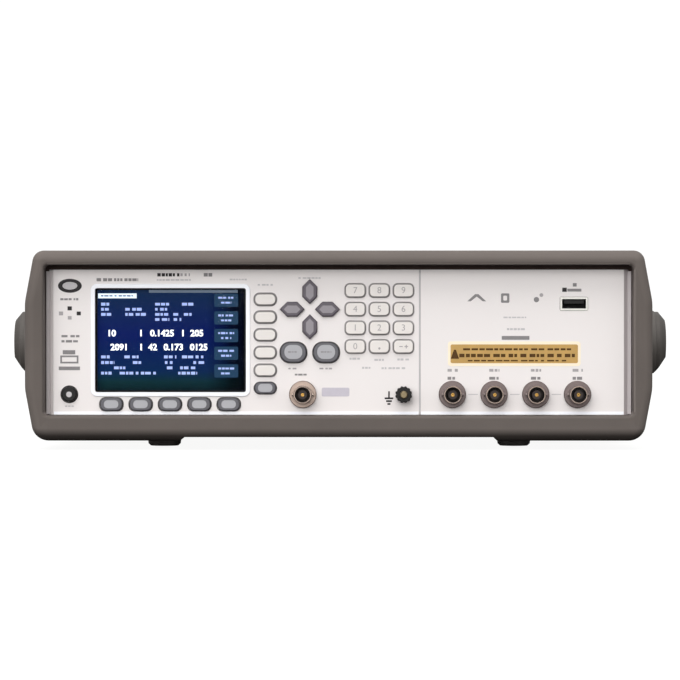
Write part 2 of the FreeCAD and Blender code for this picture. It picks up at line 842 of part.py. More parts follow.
def front_bezel():
    """The moulded panel: a deep rim, the key and display plate on the left, a ledge on the right."""
    item = body("front_bezel", y=PANEL_BACK)
    rim = sketch(item)
    rounded_rectangle(rim, "0", MIDDLE, CABINET_WIDTH, CABINET_HEIGHT, "cabinet_corner")
    pad(item, rim, "bezel_rim_depth", back=True)
    hollow = sketch(item)
    inner_width = f"({CABINET_WIDTH} - 2 * bezel_rim)"
    inner_low, inner_high = f"({FLOOR} + bezel_rim)", f"({TOP} - bezel_rim)"
    inner_middle = f"(({inner_low} + {inner_high}) / 2)"
    rounded_rectangle(hollow, "0", inner_middle, inner_width, f"{inner_high} - {inner_low}", "3")
    pocket(item, hollow)
    plate = sketch(item)
    left, right = "-panel_width / 2", "panel_seam - seam_gap"
    polygon(plate, [(left, "panel_low"), (right, "panel_low"), (right, "panel_high"), (left, "panel_high")])
    pad(item, plate, "panel_plate")
    edge = number(left)
    chamfer(item, "side_bevel", lambda b: flat_at("-panel_plate")(b) and b.XMax < edge + 1)
    ledge = sketch(item)
    far = f"({inner_width} / 2)"
    start = f"({right} - 1.5)"
    polygon(ledge, [(start, inner_low), (far, inner_low), (far, inner_high), (start, inner_high)])
    pad(item, ledge, "ledge_plate", back=True)
    opening = sketch(item)
    opening_left, opening_right = "panel_seam + seam_ledge", f"{far} - seam_ledge"
    polygon(
        opening,
        [
            (opening_left, f"{inner_low} + 3"),
            (opening_right, f"{inner_low} + 3"),
            (opening_right, f"{inner_high} - 3"),
            (opening_left, f"{inner_high} - 3"),
        ],
    )
    pocket(item, opening)
    screen = ("screen_centre", "screen_middle")
    bead = sketch(item, offset="panel_plate")
    outer = ("screen_width + 2 * rim_width", "screen_height + 2 * rim_width", "screen_corner + rim_width")
    rounded_rectangle(bead, *screen, *outer)
    pad(item, bead, "rim_rise")
    raised = number("-(panel_plate + rim_rise)")
    soften(item, "0.4", lambda b: abs(b.YMin - raised) < 1e-3 and abs(b.YMax - raised) < 1e-3)
    window = sketch(item)
    rounded_rectangle(window, *screen, "screen_width", "screen_height", "screen_corner")
    pocket(item, window)
    bezel_key_openings(item)
    for x, radius in (
        ("power_centre", "power_radius + key_gap"),
        ("bias_centre", "shank_radius + shank_gap"),
        ("ground_centre", "stud_radius + 1 + shank_gap"),
    ):
        drawing = sketch(item)
        circle(drawing, x, "connector_row", radius)
        pocket(item, drawing)
    for x, z in BOARD_BOSSES:
        drawing = sketch(item)
        circle(drawing, x, z, "boss_pillar")
        pad(item, drawing, "keyboard_setback", back=True)
    return item


BOARD_BOSSES = (
    ("menu_first - 9.8", "menu_row"),
    ("soft_column", "menu_row - 0.4"),
    *((x, z) for x in ("-28", "-2") for z in ("86", "63.5")),
    *((x, "47") for x in ("8", "36")),
)


def bezel_key_openings(item):
    """One opening for each kind of key, repeated along its row or column."""

    def opening(kind, x, z):
        drawing = sketch(item)
        long_way(kind)(drawing, x, z, "key_gap")
        return pocket(item, drawing)

    pattern(item, opening("soft", "soft_column", "soft_first"), "Z_Axis", "soft_pitch", 6, backwards=True)
    pattern(item, opening("menu", "menu_first", "menu_row"), "X_Axis", "menu_pitch", 5)
    low, left = "arrow_middle - arrow_reach", "arrow_centre - arrow_reach"
    pattern(item, opening("upright", "arrow_centre", low), "Z_Axis", "2 * arrow_reach", 2)
    pattern(item, opening("level", left, "arrow_middle"), "X_Axis", "2 * arrow_reach", 2)
    pattern(item, opening("action", ACTION_LEFT, "action_row"), "X_Axis", "action_pitch", 2)
    for line in range(4):
        first = opening("digit", "digit_column", f"digit_row - {line} * digit_pitch_down")
        pattern(item, first, "X_Axis", "digit_pitch_across", 3)


def terminal_panel():
    """The plate on the right that carries the test terminals and the USB socket."""
    item = body("terminal_panel", y=PANEL_BACK)
    plate = sketch(item)
    left, right = "panel_seam + seam_gap", "panel_width / 2"
    polygon(plate, [(left, "panel_low"), (right, "panel_low"), (right, "panel_high"), (left, "panel_high")])
    pad(item, plate, "panel_plate")
    edge = number(right)
    chamfer(item, "side_bevel", lambda b: flat_at("-panel_plate")(b) and b.XMin > edge - 1)
    hole = sketch(item)
    circle(hole, "test_first", "connector_row", "shank_radius + shank_gap")
    pattern(item, pocket(item, hole), "X_Axis", "test_pitch", 4)
    port = sketch(item)
    rounded_rectangle(port, "usb_centre", "usb_middle", "usb_width + 0.4", "usb_height + 0.4", "0.6")
    pocket(item, port)
    return item


def lcd_window():
    item = body("lcd_window", y=f"{PANEL_FACE} + window_sink")
    glass = sketch(item)
    rounded_rectangle(
        glass, "screen_centre", "screen_middle", "screen_width - 0.2", "screen_height - 0.2", "screen_corner"
    )
    pad(item, glass, "panel_plate - window_sink", back=True)
    return item


def lcd_module():
    """The display cell in its metal frame, behind the window."""
    centre = ("screen_centre", "screen_middle")
    span = (PANEL_BACK, f"{PANEL_BACK} + module_depth")
    frame = middle_box("lcd frame", *centre, "module_width", "module_height", span)
    sunk = (f"{PANEL_BACK} - 1", f"{PANEL_BACK} + 1")
    cell = middle_box("lcd recess", *centre, "screen_width - 2", "screen_height - 2", sunk)
    return cut("lcd_module", frame, cell)


def keyboard_board():
    """The circuit board behind the keys, cranked round the display, with one tact switch for each key."""
    front = f"{PANEL_BACK} + keyboard_setback"
    span = (front, f"{front} + board_plate")
    column = ("soft_column - 6.5", "soft_column + 7")
    low, left = "menu_row - 3.5", "menu_first - 12"
    pieces = [
        box("board column", column, span, (low, "90")),
        box("board field", (column[1], "panel_seam - 1.8"), span, ("action_row - 7", "90")),
        box("board strip", (left, column[0]), span, (low, "menu_row + 3.4")),
        box("board tab", ("power_centre - 6", left), span, (low, "connector_row + 5")),
    ]
    places = [(name, x, z) for name, _, x, z, _ in key_places()]
    places.append(("power", "power_centre", "connector_row"))
    switches = [
        middle_box(f"switch {name}", x, z, "switch_size", "switch_size", (f"{front} - switch_rise", front))
        for name, x, z in places
    ]
    return group("keyboard_board", join("keyboard circuit board", *pieces), *switches)


def front_usb_port():
    """The shell of a USB socket with its contact tongue, on a small board that butts against the panel."""
    centre = ("usb_centre", "usb_middle")
    front, back = f"{PANEL_FACE} - 0.3", f"{PANEL_FACE} + 14"
    shell = middle_box("usb shell", *centre, "usb_width", "usb_height", (front, back))
    clear = (f"{front} - 1", f"{back} - 2")
    hollow = middle_box("usb hollow", *centre, "usb_width - 2 * usb_wall", "usb_height - 2 * usb_wall", clear)
    tongue_span = (f"{front} + 1", f"{back} - 1.5")
    tongue = middle_box("usb tongue", "usb_centre", "usb_middle + 1", "usb_width - 4", "1.8", tongue_span)
    low = "usb_middle - usb_height / 2"
    plate = box(
        "usb board",
        ("usb_centre - 12", "usb_centre + 12"),
        (PANEL_BACK, f"{PANEL_BACK} + 14"),
        (f"{low} - board_plate", low),
    )
    return group("front_usb_port", join("usb socket", cut("usb sleeve", shell, hollow), tongue), plate)


# ---------------------------------------------------------------------------------------------------
# Connectors
# ---------------------------------------------------------------------------------------------------


def bnc_shell(label, x, z):
    """A bulkhead BNC socket facing -Y: barrel with two bayonet lugs, collar and threaded shank."""
    item = body(label, x, PANEL_FACE, z)
    profile = sketch(item, "XY_Plane")
    polygon(
        profile,
        [
            ("0", "-1"),
            ("barrel_bore", "-1"),
            ("barrel_bore", "-barrel_length"),
            ("barrel_radius - 0.3", "-barrel_length"),
            ("barrel_radius", "-barrel_length + 0.5"),
            ("barrel_radius", "-collar_plate"),
            ("collar_radius - 0.4", "-collar_plate"),
            ("collar_radius", "-collar_plate + 0.4"),
            ("collar_radius", "0"),
            ("shank_radius", "0"),
            ("shank_radius", "panel_plate"),
            ("shank_nut_radius", "panel_plate"),
            ("shank_nut_radius", "panel_plate + shank_nut_plate"),
            ("shank_radius", "panel_plate + shank_nut_plate"),
            ("shank_radius", "shank_length"),
            ("0", "shank_length"),
        ],
    )
    revolve(item, profile, "V_Axis")
    return item


def with_lugs(label, shell, x, z):
    lugs = []
    for name, side in (("right", 1), ("left", -1)):
        inner = "barrel_radius - 0.4"
        start = f"({x}) + ({inner})" if side > 0 else f"({x}) - lug_reach"
        spot = (start, f"{PANEL_FACE} - lug_place", z)
        lugs.append(rod(f"{label} {name} lug", "X", spot, "lug_radius", f"lug_reach - ({inner})"))
    return join(label, shell, *lugs)


def test_terminals():
    for k in range(4):
        yield f"test_first + {k} * test_pitch"


def test_bncs():
    made = []
    for k, x in enumerate(test_terminals()):
        shell = bnc_shell(f"test shell {k}", x, "connector_row")
        made.append(with_lugs(f"test socket {k}", shell, x, "connector_row"))
    return group("test_bncs", *made)


def bias_bnc():
    shell = bnc_shell("bias shell", "bias_centre", "connector_row")
    return with_lugs("bias_bnc", shell, "bias_centre", "connector_row")


def bnc_insulators():
    """A stepped white insulator and a split centre contact for each front socket."""
    made = []
    for k, x in enumerate([*test_terminals(), "bias_centre"]):
        item = body(f"insulator {k}", x, PANEL_FACE, "connector_row")
        profile = sketch(item, "XY_Plane")
        polygon(
            profile,
            [
                ("contact_radius", "-1"),
                ("barrel_bore - 0.05", "-1"),
                ("barrel_bore - 0.05", "-3"),
                ("insulator_radius", "-3"),
                ("insulator_radius", "-barrel_length + 1.8"),
                ("contact_radius", "-barrel_length + 1.8"),
            ],
        )
        revolve(item, profile, "V_Axis")
        front = f"{PANEL_FACE} - barrel_length + 2"
        pin = rod(f"contact pin {k}", "Y", (x, front, "connector_row"), "contact_radius", "barrel_length - 3")
        start = (x, f"{front} - 1", "connector_row")
        bore = rod(f"contact bore {k}", "Y", start, "contact_bore", "barrel_length - 5")
        made += [item, cut(f"centre contact {k}", pin, bore)]
    return group("bnc_insulators", *made)


def ground_post():
    """The earth stud: a plate behind the panel, a seat in its hole and a threaded end for the thumb nut."""
    item = body("ground_post", "ground_centre", PANEL_FACE, "connector_row")
    profile = sketch(item, "XY_Plane")
    polygon(
        profile,
        [
            ("0", "-nut_length - 2"),
            ("stud_radius - 0.5", "-nut_length - 2"),
            ("stud_radius", "-nut_length - 1.5"),
            ("stud_radius", "0"),
            ("stud_radius + 1", "0"),
            ("stud_radius + 1", "panel_plate"),
            ("stud_radius + 3", "panel_plate"),
            ("stud_radius + 3", "panel_plate + 2"),
            ("stud_radius", "panel_plate + 2"),
            ("stud_radius", "panel_plate + 8"),
            ("0", "panel_plate + 8"),
        ],
    )
    revolve(item, profile, "V_Axis")
    return item


def ground_nut():
    """A moulded thumb nut with flutes round its rim."""
    item = body("ground_nut", "ground_centre", f"{PANEL_FACE} - 0.3", "connector_row")
    disc = sketch(item)
    circle(disc, "0", "0", "nut_radius")
    pad(item, disc, "nut_length")
    soften(item, "0.7", flat_at("-nut_length"))
    hole = sketch(item)
    circle(hole, "0", "0", "stud_radius + stud_gap")
    pocket(item, hole)
    flute = sketch(item)
    circle(flute, "nut_radius + 0.45", "0", "0.9")
    groove = pocket(item, flute)
    ring = item.newObject("PartDesign::PolarPattern", "ground_nut_flutes")
    ring.Originals = [groove]
    ring.Axis = ([f for f in item.Origin.OriginFeatures if f.Role == "Y_Axis"][0], [""])
    ring.Angle = 360
    ring.Occurrences = 12
    item.Tip = ring
    return item


# ---------------------------------------------------------------------------------------------------
# Handle
# ---------------------------------------------------------------------------------------------------

HUB_FACE = f"({CABINET_WIDTH} / 2)"
EYE_START = f"({HUB_FACE} + hub_plate + eye_gap)"
EYE_END = f"({EYE_START} + eye_width)"


def pivot_hubs():
    """A detent plate screwed to each side of the cabinet, with the boss that the handle turns on."""
    item = body("right hub", "0", PIVOT, MIDDLE)
    profile = sketch(item, "XY_Plane")
    polygon(
        profile,
        [
            (HUB_FACE, "0"),
            (HUB_FACE, "hub_radius"),
            (f"{HUB_FACE} + hub_plate - 1.5", "hub_radius"),
            (f"{HUB_FACE} + hub_plate", "hub_radius - 1.5"),
            (f"{HUB_FACE} + hub_plate", "boss_radius"),
            (f"{EYE_END} - 0.6", "boss_radius"),
            (f"{EYE_END} - 0.6", "0"),
        ],
    )
    revolve(item, profile, "H_Axis")
    return group("pivot_hubs", item, mirrored("left hub", item))


def hub_caps():
    """Covers over the handle's eyes, each with a bevelled face and a sloping flat underneath."""
    item = body("right cap", "0", PIVOT, MIDDLE)
    profile = sketch(item, "XY_Plane")
    outer = "(meter_width / 2)"
    polygon(
        profile,
        [
            (EYE_END, "0"),
            (EYE_END, "eye_radius - 0.6"),
            (f"{outer} - 3.8", "eye_radius - 0.6"),
            (f"{outer} - 0.8", "cap_face_radius + 1"),
            (outer, "cap_face_radius"),
            (outer, "0"),
        ],
    )
    revolve(item, profile, "H_Axis")
    flat = sketch(item)
    inner, low = f"({outer} - cap_flat_depth)", "-(eye_radius + 1)"
    polygon(flat, [(inner, low), (f"{outer} + 1", low), (f"{outer} + 1", "1.5 - cap_flat_drop")])
    pocket(item, flat)
    return group("hub_caps", item, mirrored("left cap", item))


def carry_handle():
    """A moulded U that lies back along both sides, with an eye on each hub boss."""
    low, high = f"{MIDDLE} - arm_height / 2", f"{MIDDLE} + arm_height / 2"
    outer_x, inner_x = "(arm_offset + arm_thick / 2)", "(arm_offset - arm_thick / 2)"
    outer_y, inner_y = f"({PIVOT} + bar_reach + arm_thick / 2)", f"({PIVOT} + bar_reach - arm_thick / 2)"
    blank = box("handle blank", (f"-{outer_x}", outer_x), (PIVOT, outer_y), (low, high))
    through = (f"{low} - 1", f"{high} + 1")
    gap = box("handle gap", (f"-{inner_x}", inner_x), (f"{PIVOT} - 1", inner_y), through)
    rear = number(inner_y) - 1

    def bend(b):
        return along("Z")(b) and b.YMin > rear

    outside = rounded("handle outer bend", blank, "bar_corner", bend)
    inside = rounded("handle inner bend", gap, "bar_corner - arm_thick", bend)
    bow = cut("handle bow", outside, inside)
    doc.recompute()
    start, levels = number(PIVOT), (number(low), number(high))

    def rim(b):
        return b.ZLength < 1e-3 and min(abs(b.ZMin - z) for z in levels) < 1e-3 and b.YMax > start + 1

    soft = rounded("handle edges", bow, "arm_edge", rim)
    eyes, bores = [], []
    for side, first in (("right", EYE_START), ("left", f"-{EYE_END}")):
        eye = rod(f"{side} eye blank", "X", (first, PIVOT, MIDDLE), "eye_radius", "eye_width")
        eyes.append(rounded(f"{side} eye", eye, "0.6", lambda b: b.XLength < 1e-3 and b.YLength > 5))
        centre = (f"{first} - 1", PIVOT, MIDDLE)
        bores.append(rod(f"{side} eye bore", "X", centre, "boss_radius + boss_gap", "eye_width + 2"))
    return cut("carry_handle", join("handle with eyes", soft, *eyes), *bores)


def handle_grip():
    """A soft sleeve round the middle of the handle's bar."""
    half = "grip_length / 2"
    middle = f"{PIVOT} + bar_reach"
    sleeve = box(
        "grip blank",
        (f"-{half}", half),
        (f"{middle} - grip_thick / 2", f"{middle} + grip_thick / 2"),
        (f"{MIDDLE} - grip_height / 2", f"{MIDDLE} + grip_height / 2"),
    )
    soft = rounded("grip edges", sleeve, "5", along("X"))
    bar = box(
        "grip bore blank",
        (f"-{half} - 1", f"{half} + 1"),
        (f"{middle} - arm_thick / 2", f"{middle} + arm_thick / 2"),
        (f"{MIDDLE} - arm_height / 2", f"{MIDDLE} + arm_height / 2"),
    )
    bore = rounded("grip bore", bar, "arm_edge", along("X"))
    return cut("handle_grip", soft, bore)


# ---------------------------------------------------------------------------------------------------
# Rear panel and what it carries
# ---------------------------------------------------------------------------------------------------

SOCKET_X = "(inlet_centre - socket_shift)"
DRAWER_X = "(inlet_centre + drawer_shift)"
GPIB = ("40", "72")
LAN = ("92", "72")
LAN_SIZE = ("16", "13.5")
USB_B = ("114", "70.75")
USB_B_SIZE = ("12", "11")
TRIGGER = ("136", "72")
OPTION_PLATES = (("66", "47.5"), ("66", "30"))
OPTION_SIZE = ("118", "15")


def rear_panel():
    """A flat steel plate with every cut-out of the rear: fan grille, inlet, ports and option slots."""
    half = f"({CABINET_WIDTH} / 2)"
    plate = box("rear plate", (f"-{half}", half), (REAR_INSIDE, REAR_FACE), (FLOOR, TOP))
    blank = rounded("rear plate corners", plate, "cabinet_corner", along("Y"))
    through = (f"{REAR_INSIDE} - 1", f"{REAR_FACE} + 1")
    tools = []
    radius = number("duct_radius") - 2
    for k in range(-4, 5):
        rise = 5.6 * k
        reach = round(math.sqrt(radius**2 - (abs(rise) + 1.5) ** 2), 1)
        row = f"fan_middle + {rise}"
        tools.append(middle_box(f"grille {k}", "fan_centre", row, f"{2 * reach}", "3", through))
    inlet = ("inlet_centre", "inlet_middle", "inlet_width - 6", "inlet_height - 4")
    tools.append(middle_box("inlet cut-out", *inlet, through))
    tools.append(middle_box("gpib cut-out", *GPIB, "53", "13", through))
    for name, spot, (width, height) in (("lan", LAN, LAN_SIZE), ("usb", USB_B, USB_B_SIZE)):
        tools.append(middle_box(f"{name} cut-out", *spot, f"{width} - 1", f"{height} - 1", through))
    start = (TRIGGER[0], through[0], TRIGGER[1])
    tools.append(rod("trigger hole", "Y", start, "shank_radius + shank_gap", "rear_plate + 2"))
    width, height = OPTION_SIZE
    for k, (x, z) in enumerate(OPTION_PLATES):
        tools.append(middle_box(f"option slot {k}", x, z, f"{width} - 14", f"{height} - 4", through))
    for k, (x, z) in enumerate(REAR_SCREWS):
        hole = rod(f"rear screw hole {k}", "Y", (x, through[0], z), "screw_radius + 0.2", "rear_plate + 2")
        tools.append(hole)
    return cut("rear_panel", blank, *tools)


def rear_ports():
    """GPIB, network and USB sockets, the trigger BNC and two blank option plates."""
    return group("rear_ports", gpib_socket(), *data_sockets(), trigger_bnc(), *option_plates())


def gpib_socket():
    x, z = GPIB
    flange = middle_box("gpib flange", x, z, "68", "16", (REAR_FACE, f"{REAR_FACE} + 1"))
    shell = middle_box("gpib shell", x, z, "52", "12", (f"{REAR_INSIDE} - 8", f"{REAR_FACE} + 6"))
    shape = rounded("gpib shell corners", shell, "2.5", along("Y"))
    hollow = middle_box("gpib hollow", x, z, "49", "9", (f"{REAR_FACE} - 4", f"{REAR_FACE} + 7"))
    tongue = middle_box("gpib tongue", x, z, "44", "3.4", (f"{REAR_FACE} - 4.5", f"{REAR_FACE} + 4"))
    return join("gpib socket", cut("gpib sleeve", join("gpib body", flange, shape), hollow), tongue)


def data_sockets():
    """Two jacks behind the rear panel and the little board they stand on."""
    back = REAR_INSIDE
    x, z = LAN
    jack = middle_box("lan jack", x, z, *LAN_SIZE, (f"{back} - 17", back))
    mouth = middle_box("lan mouth", x, f"{z} - 0.8", "12", "7.6", (f"{back} - 11", f"{back} + 1"))
    latch = middle_box("lan latch slot", x, f"{z} + 4", "4.4", "3.2", (f"{back} - 6", f"{back} + 1"))
    yield cut("lan socket", jack, mouth, latch)
    low = f"({z} - {LAN_SIZE[1]} / 2)"
    x, z = USB_B
    port = middle_box("usb b shell", x, z, *USB_B_SIZE, (f"{back} - 15", back))
    hollow = middle_box("usb b hollow", x, z, "8.6", "8", (f"{back} - 9", f"{back} + 1"))
    tongue = middle_box("usb b tongue", x, z, "5.6", "3.2", (f"{back} - 9.5", f"{back} - 1"))
    yield join("usb b socket", cut("usb b sleeve", port, hollow), tongue)
    span = (f"{back} - 34", f"{back} - 0.5")
    yield box("port board", ("81", "124"), span, (f"{low} - board_plate", low))


def trigger_bnc():
    """The same turned shell as on the front, facing the rear."""
    item = body("trigger socket", TRIGGER[0], REAR_FACE, TRIGGER[1])
    profile = sketch(item, "XY_Plane")
    polygon(
        profile,
        [
            ("0", "1"),
            ("barrel_bore", "1"),
            ("barrel_bore", "7.6"),
            ("barrel_radius", "7.6"),
            ("barrel_radius", "collar_plate"),
            ("collar_radius", "collar_plate"),
            ("collar_radius", "0"),
            ("shank_radius", "0"),
            ("shank_radius", "-rear_plate"),
            ("shank_nut_radius", "-rear_plate"),
            ("shank_nut_radius", "-rear_plate - shank_nut_plate"),
            ("shank_radius", "-rear_plate - shank_nut_plate"),
            ("shank_radius", "-shank_length"),
            ("0", "-shank_length"),
        ],
    )
    revolve(item, profile, "V_Axis")
    return item


def option_plates():
    for k, (x, z) in enumerate(OPTION_PLATES):
        plate = middle_box(f"option plate blank {k}", x, z, *OPTION_SIZE, (REAR_FACE, f"{REAR_FACE} + 1.2"))
        yield rounded(f"option plate {k}", plate, "1.5", along("Y"))


def ac_inlet():
    """The mains inlet: a flanged housing with the plug's cavity, its three pins and the fuse drawer's bay."""
    x, z = "inlet_centre", "inlet_middle"
    outer = f"{REAR_FACE} + inlet_flange"
    flange = middle_box("inlet flange blank", x, z, "inlet_width", "inlet_height", (REAR_FACE, outer))
    rim = rounded("inlet flange", flange, "3", along("Y"))
    inside = (f"{outer} - inlet_depth", REAR_FACE)
    housing = middle_box("inlet housing", x, z, "inlet_width - 7", "inlet_height - 5", inside)
    sunk = (f"{outer} - socket_depth", f"{outer} + 1")
    cavity = middle_box("inlet cavity blank", SOCKET_X, z, "socket_width", "socket_height", sunk)
    upper = number(z)
    shaped = rounded("inlet cavity", cavity, "4", lambda b: along("Y")(b) and b.ZMin > upper)
    bay = middle_box(
        "fuse bay",
        DRAWER_X,
        z,
        "drawer_width + 0.4",
        "drawer_height + 0.4",
        (f"{outer} - drawer_depth - 0.5", f"{outer} + 1"),
    )
    solid = cut("inlet body", join("inlet block", rim, housing), shaped, bay)
    start = f"{outer} - socket_depth"
    pins = [
        middle_box(f"inlet pin {k}", f"{SOCKET_X} + {dx}", f"{z} + {dz}", "2", "4", (start, f"{start} + 9.5"))
        for k, (dx, dz) in enumerate(((-7, -1.5), (7, -1.5), (0, 3)))
    ]
    return group("ac_inlet", solid, *pins)


def fuse_drawer():
    """The drawer that slides out of the inlet: a face with a finger notch and a body holding two fuses."""
    outer = f"({REAR_FACE} + inlet_flange)"
    span = (f"{outer} - drawer_depth", f"{outer} + 0.6")
    block = middle_box("drawer block", DRAWER_X, "inlet_middle", "drawer_width", "drawer_height", span)
    blank = rounded("drawer corners", block, "1", along("Y"))
    sunk = (f"{outer} - 1.6", f"{outer} + 1")
    notch = middle_box("drawer notch", DRAWER_X, "inlet_middle + 7", "8", "3", sunk)
    back = f"{outer} - drawer_depth - 1"
    fuses = [
        rod(f"fuse seat {k}", "Y", (DRAWER_X, back, f"inlet_middle + {dz}"), "2.7", "17")
        for k, dz in enumerate((-5, 1))
    ]
    return cut("fuse_drawer", blank, notch, *fuses)


def fan_frame():
    """A square fan housing with a round duct, four struts and the pin that the rotor turns on."""
    half = "fan_size / 2"
    front, back = f"({REAR_INSIDE} - fan_depth)", REAR_INSIDE
    block = box(
        "fan block",
        (f"fan_centre - {half}", f"fan_centre + {half}"),
        (front, back),
        (f"fan_middle - {half}", f"fan_middle + {half}"),
    )
    shape = rounded("fan corners", block, "4", along("Y"))
    centre = ("fan_centre", f"{front} - 1", "fan_middle")
    duct = rod("fan duct", "Y", centre, "duct_radius", "fan_depth + 2")
    ring = cut("fan ring", shape, duct)
    seat = rod("motor seat", "Y", ("fan_centre", front, "fan_middle"), "rotor_hub", "2.5")
    span = (front, f"{front} + 2.5")
    across = middle_box("strut across", "fan_centre", "fan_middle", "2 * duct_radius + 1", "3", span)
    upright = middle_box("strut upright", "fan_centre", "fan_middle", "3", "2 * duct_radius + 1", span)
    pin = rod("fan pin", "Y", ("fan_centre", front, "fan_middle"), "fan_pin", "9")
    return join("fan_frame", ring, seat, across, upright, pin)


def fan_rotor():
    """A hub and seven pitched blades."""
    front = f"({REAR_INSIDE} - fan_depth + 3.2)"
    hub = rod("rotor hub", "Y", ("fan_centre", front, "fan_middle"), "rotor_hub", "9.5")
    shape = rounded("rotor crown", hub, "1.5", outer_rim("Y", f"{front} + 9.5"))
    centre = Vector(number("fan_centre"), number(f"{front} + 4.8"), number("fan_middle"))
    blades = []
    count, pitch = 7, 38
    for k in range(count):
        blade = doc.addObject("Part::Box", f"blade {k}")
        bind(blade, Length="blade_plate", Width="blade_chord", Height="blade_tip - rotor_hub + 1.5")
        middle = Vector(-number("blade_plate") / 2, -number("blade_chord") / 2, number("rotor_hub") - 1.5)
        spin = FreeCAD.Rotation(Vector(0, 1, 0), 360 * k / count)
        twist = FreeCAD.Rotation(Vector(0, 0, 1), pitch)
        turn = spin.multiply(twist)
        blade.Placement = FreeCAD.Placement(centre + turn.multVec(middle), turn)
        blades.append(blade)
    bore = rod("rotor bore", "Y", ("fan_centre", f"{front} - 1", "fan_middle"), "fan_pin + 0.06", "8")
    return cut("fan_rotor", join("rotor solid", shape, *blades), bore)


# ---------------------------------------------------------------------------------------------------
# Electronics
# ---------------------------------------------------------------------------------------------------


def board(label, x, y):
    return box(label, x, y, ("board_height", BOARD_TOP))


def power_supply():
    """The mains supply: its board, a transformer, three capacitors and a finned heat sink."""
    plate = board("supply board", ("-148", "-62"), ("18", "130"))
    core = box("transformer core", ("-142", "-96"), ("24", "66"), (BOARD_TOP, f"{BOARD_TOP} + 36"))
    winding = box("transformer winding", ("-136", "-102"), ("66", "74"), (BOARD_TOP, f"{BOARD_TOP} + 28"))
    sizes = ((32, 30), (54, 26), (76, 22))
    cans = [rod(f"capacitor at {y}", "Z", ("-82", f"{y}", BOARD_TOP), "8", f"{tall}") for y, tall in sizes]
    tall = (BOARD_TOP, f"{BOARD_TOP} + 34")
    base = box("sink base", ("-142", "-139"), ("84", "124"), tall)
    starts = [84 + 6.3 * k for k in range(7)]
    fins = [box(f"sink fin {y:.1f}", ("-139", "-124"), (f"{y}", f"{y + 1.8}"), tall) for y in starts]
    return group("power_supply", plate, core, winding, *cans, join("heat sink", base, *fins))


def main_board():
    """The processor board, with its chips and the header of the display cable."""
    plate = board("processor board", ("-52", "150"), ("10", "134"))
    chips = [
        box(f"chip {k}", (f"{x}", f"{x + wide}"), (f"{y}", f"{y + deep}"), (BOARD_TOP, f"{BOARD_TOP} + 2.4"))
        for k, (x, y, wide, deep) in enumerate(
            ((20, 50, 28, 28), (62, 54, 20, 14), (62, 76, 20, 14), (-20, 60, 22, 22), (110, 40, 14, 30))
        )
    ]
    header = box("display header", ("-44", "-4"), ("14", "20"), (BOARD_TOP, f"{BOARD_TOP} + 9"))
    return group("main_board", plate, *chips, header)


def measurement_module():
    """The analogue board behind the test terminals under its screening can."""
    plate = board("measurement board", ("48", "148"), ("-160", "0"))
    can = box("screen outside", ("52", "144"), ("-150", "-6"), (BOARD_TOP, f"{BOARD_TOP} + 32"))
    inside = box("screen inside", ("53", "143"), ("-149", "-7"), (f"{BOARD_TOP} - 1", f"{BOARD_TOP} + 31"))
    relays = [
        box(f"range relay {x}", (f"{x}", f"{x + 14}"), ("-142", "-120"), (BOARD_TOP, f"{BOARD_TOP} + 11"))
        for x in range(60, 140, 20)
    ]
    bridge = box("bridge chip", ("84", "112"), ("-90", "-62"), (BOARD_TOP, f"{BOARD_TOP} + 3"))
    return group("measurement_module", plate, cut("screening can", can, inside), *relays, bridge)


# ---------------------------------------------------------------------------------------------------
# Build, test and write
# ---------------------------------------------------------------------------------------------------

MAKERS = (
    front_bumper,
    rear_bumper,
    top_cover,
    chassis_tray,
    feet,
    fixing_screws,
    front_bezel,
    terminal_panel,
    lcd_window,
    lcd_module,
    keyboard_board,
    power_button,
    front_usb_port,
    test_bncs,
    bias_bnc,
    bnc_insulators,
    ground_post,
    ground_nut,
    pivot_hubs,
    hub_caps,
    carry_handle,
    handle_grip,
    rear_panel,
    rear_ports,
    ac_inlet,
    fuse_drawer,
    fan_frame,
    fan_rotor,
    power_supply,
    main_board,
    measurement_module,
)

nodes = {make.__name__: make() for make in MAKERS}
for place_on_panel in key_places():
    nodes[place_on_panel[0]] = key(*place_on_panel)
doc.recompute()

for name, item in nodes.items():
    item.Label = name
for item in doc.Objects:
    if {"Invalid", "Error"} & set(item.State):
        raise RuntimeError(f"{item.Label} did not compute: {item.State}")
for name, item in nodes.items():
    if item.Shape.isNull() or not item.Shape.isValid() or not item.Shape.Solids:
        raise RuntimeError(f"{name} has no valid solid")
    item.Shape.exportStep(f"parts/{name}.step")
print(f"{len(nodes)} nodes written")
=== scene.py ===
import math
import random

import bmesh
import bpy
from mathutils import Matrix, Vector


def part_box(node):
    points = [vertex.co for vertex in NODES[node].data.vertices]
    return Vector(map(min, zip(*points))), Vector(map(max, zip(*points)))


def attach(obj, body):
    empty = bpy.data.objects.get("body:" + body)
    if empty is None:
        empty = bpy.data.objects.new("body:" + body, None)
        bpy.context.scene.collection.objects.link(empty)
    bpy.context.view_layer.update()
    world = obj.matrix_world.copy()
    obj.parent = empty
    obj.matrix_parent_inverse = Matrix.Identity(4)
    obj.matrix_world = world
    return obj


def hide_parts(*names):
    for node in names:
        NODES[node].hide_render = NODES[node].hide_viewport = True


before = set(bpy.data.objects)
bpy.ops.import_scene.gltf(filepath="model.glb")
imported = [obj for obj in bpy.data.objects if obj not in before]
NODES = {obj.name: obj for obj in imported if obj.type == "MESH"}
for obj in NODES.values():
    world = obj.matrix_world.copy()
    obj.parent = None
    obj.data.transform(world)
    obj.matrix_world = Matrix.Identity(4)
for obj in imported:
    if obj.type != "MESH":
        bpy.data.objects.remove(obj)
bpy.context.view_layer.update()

# ---------------------------------------------------------------------------------------------------
# Places, in metres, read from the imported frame
# ---------------------------------------------------------------------------------------------------

MM = 0.001


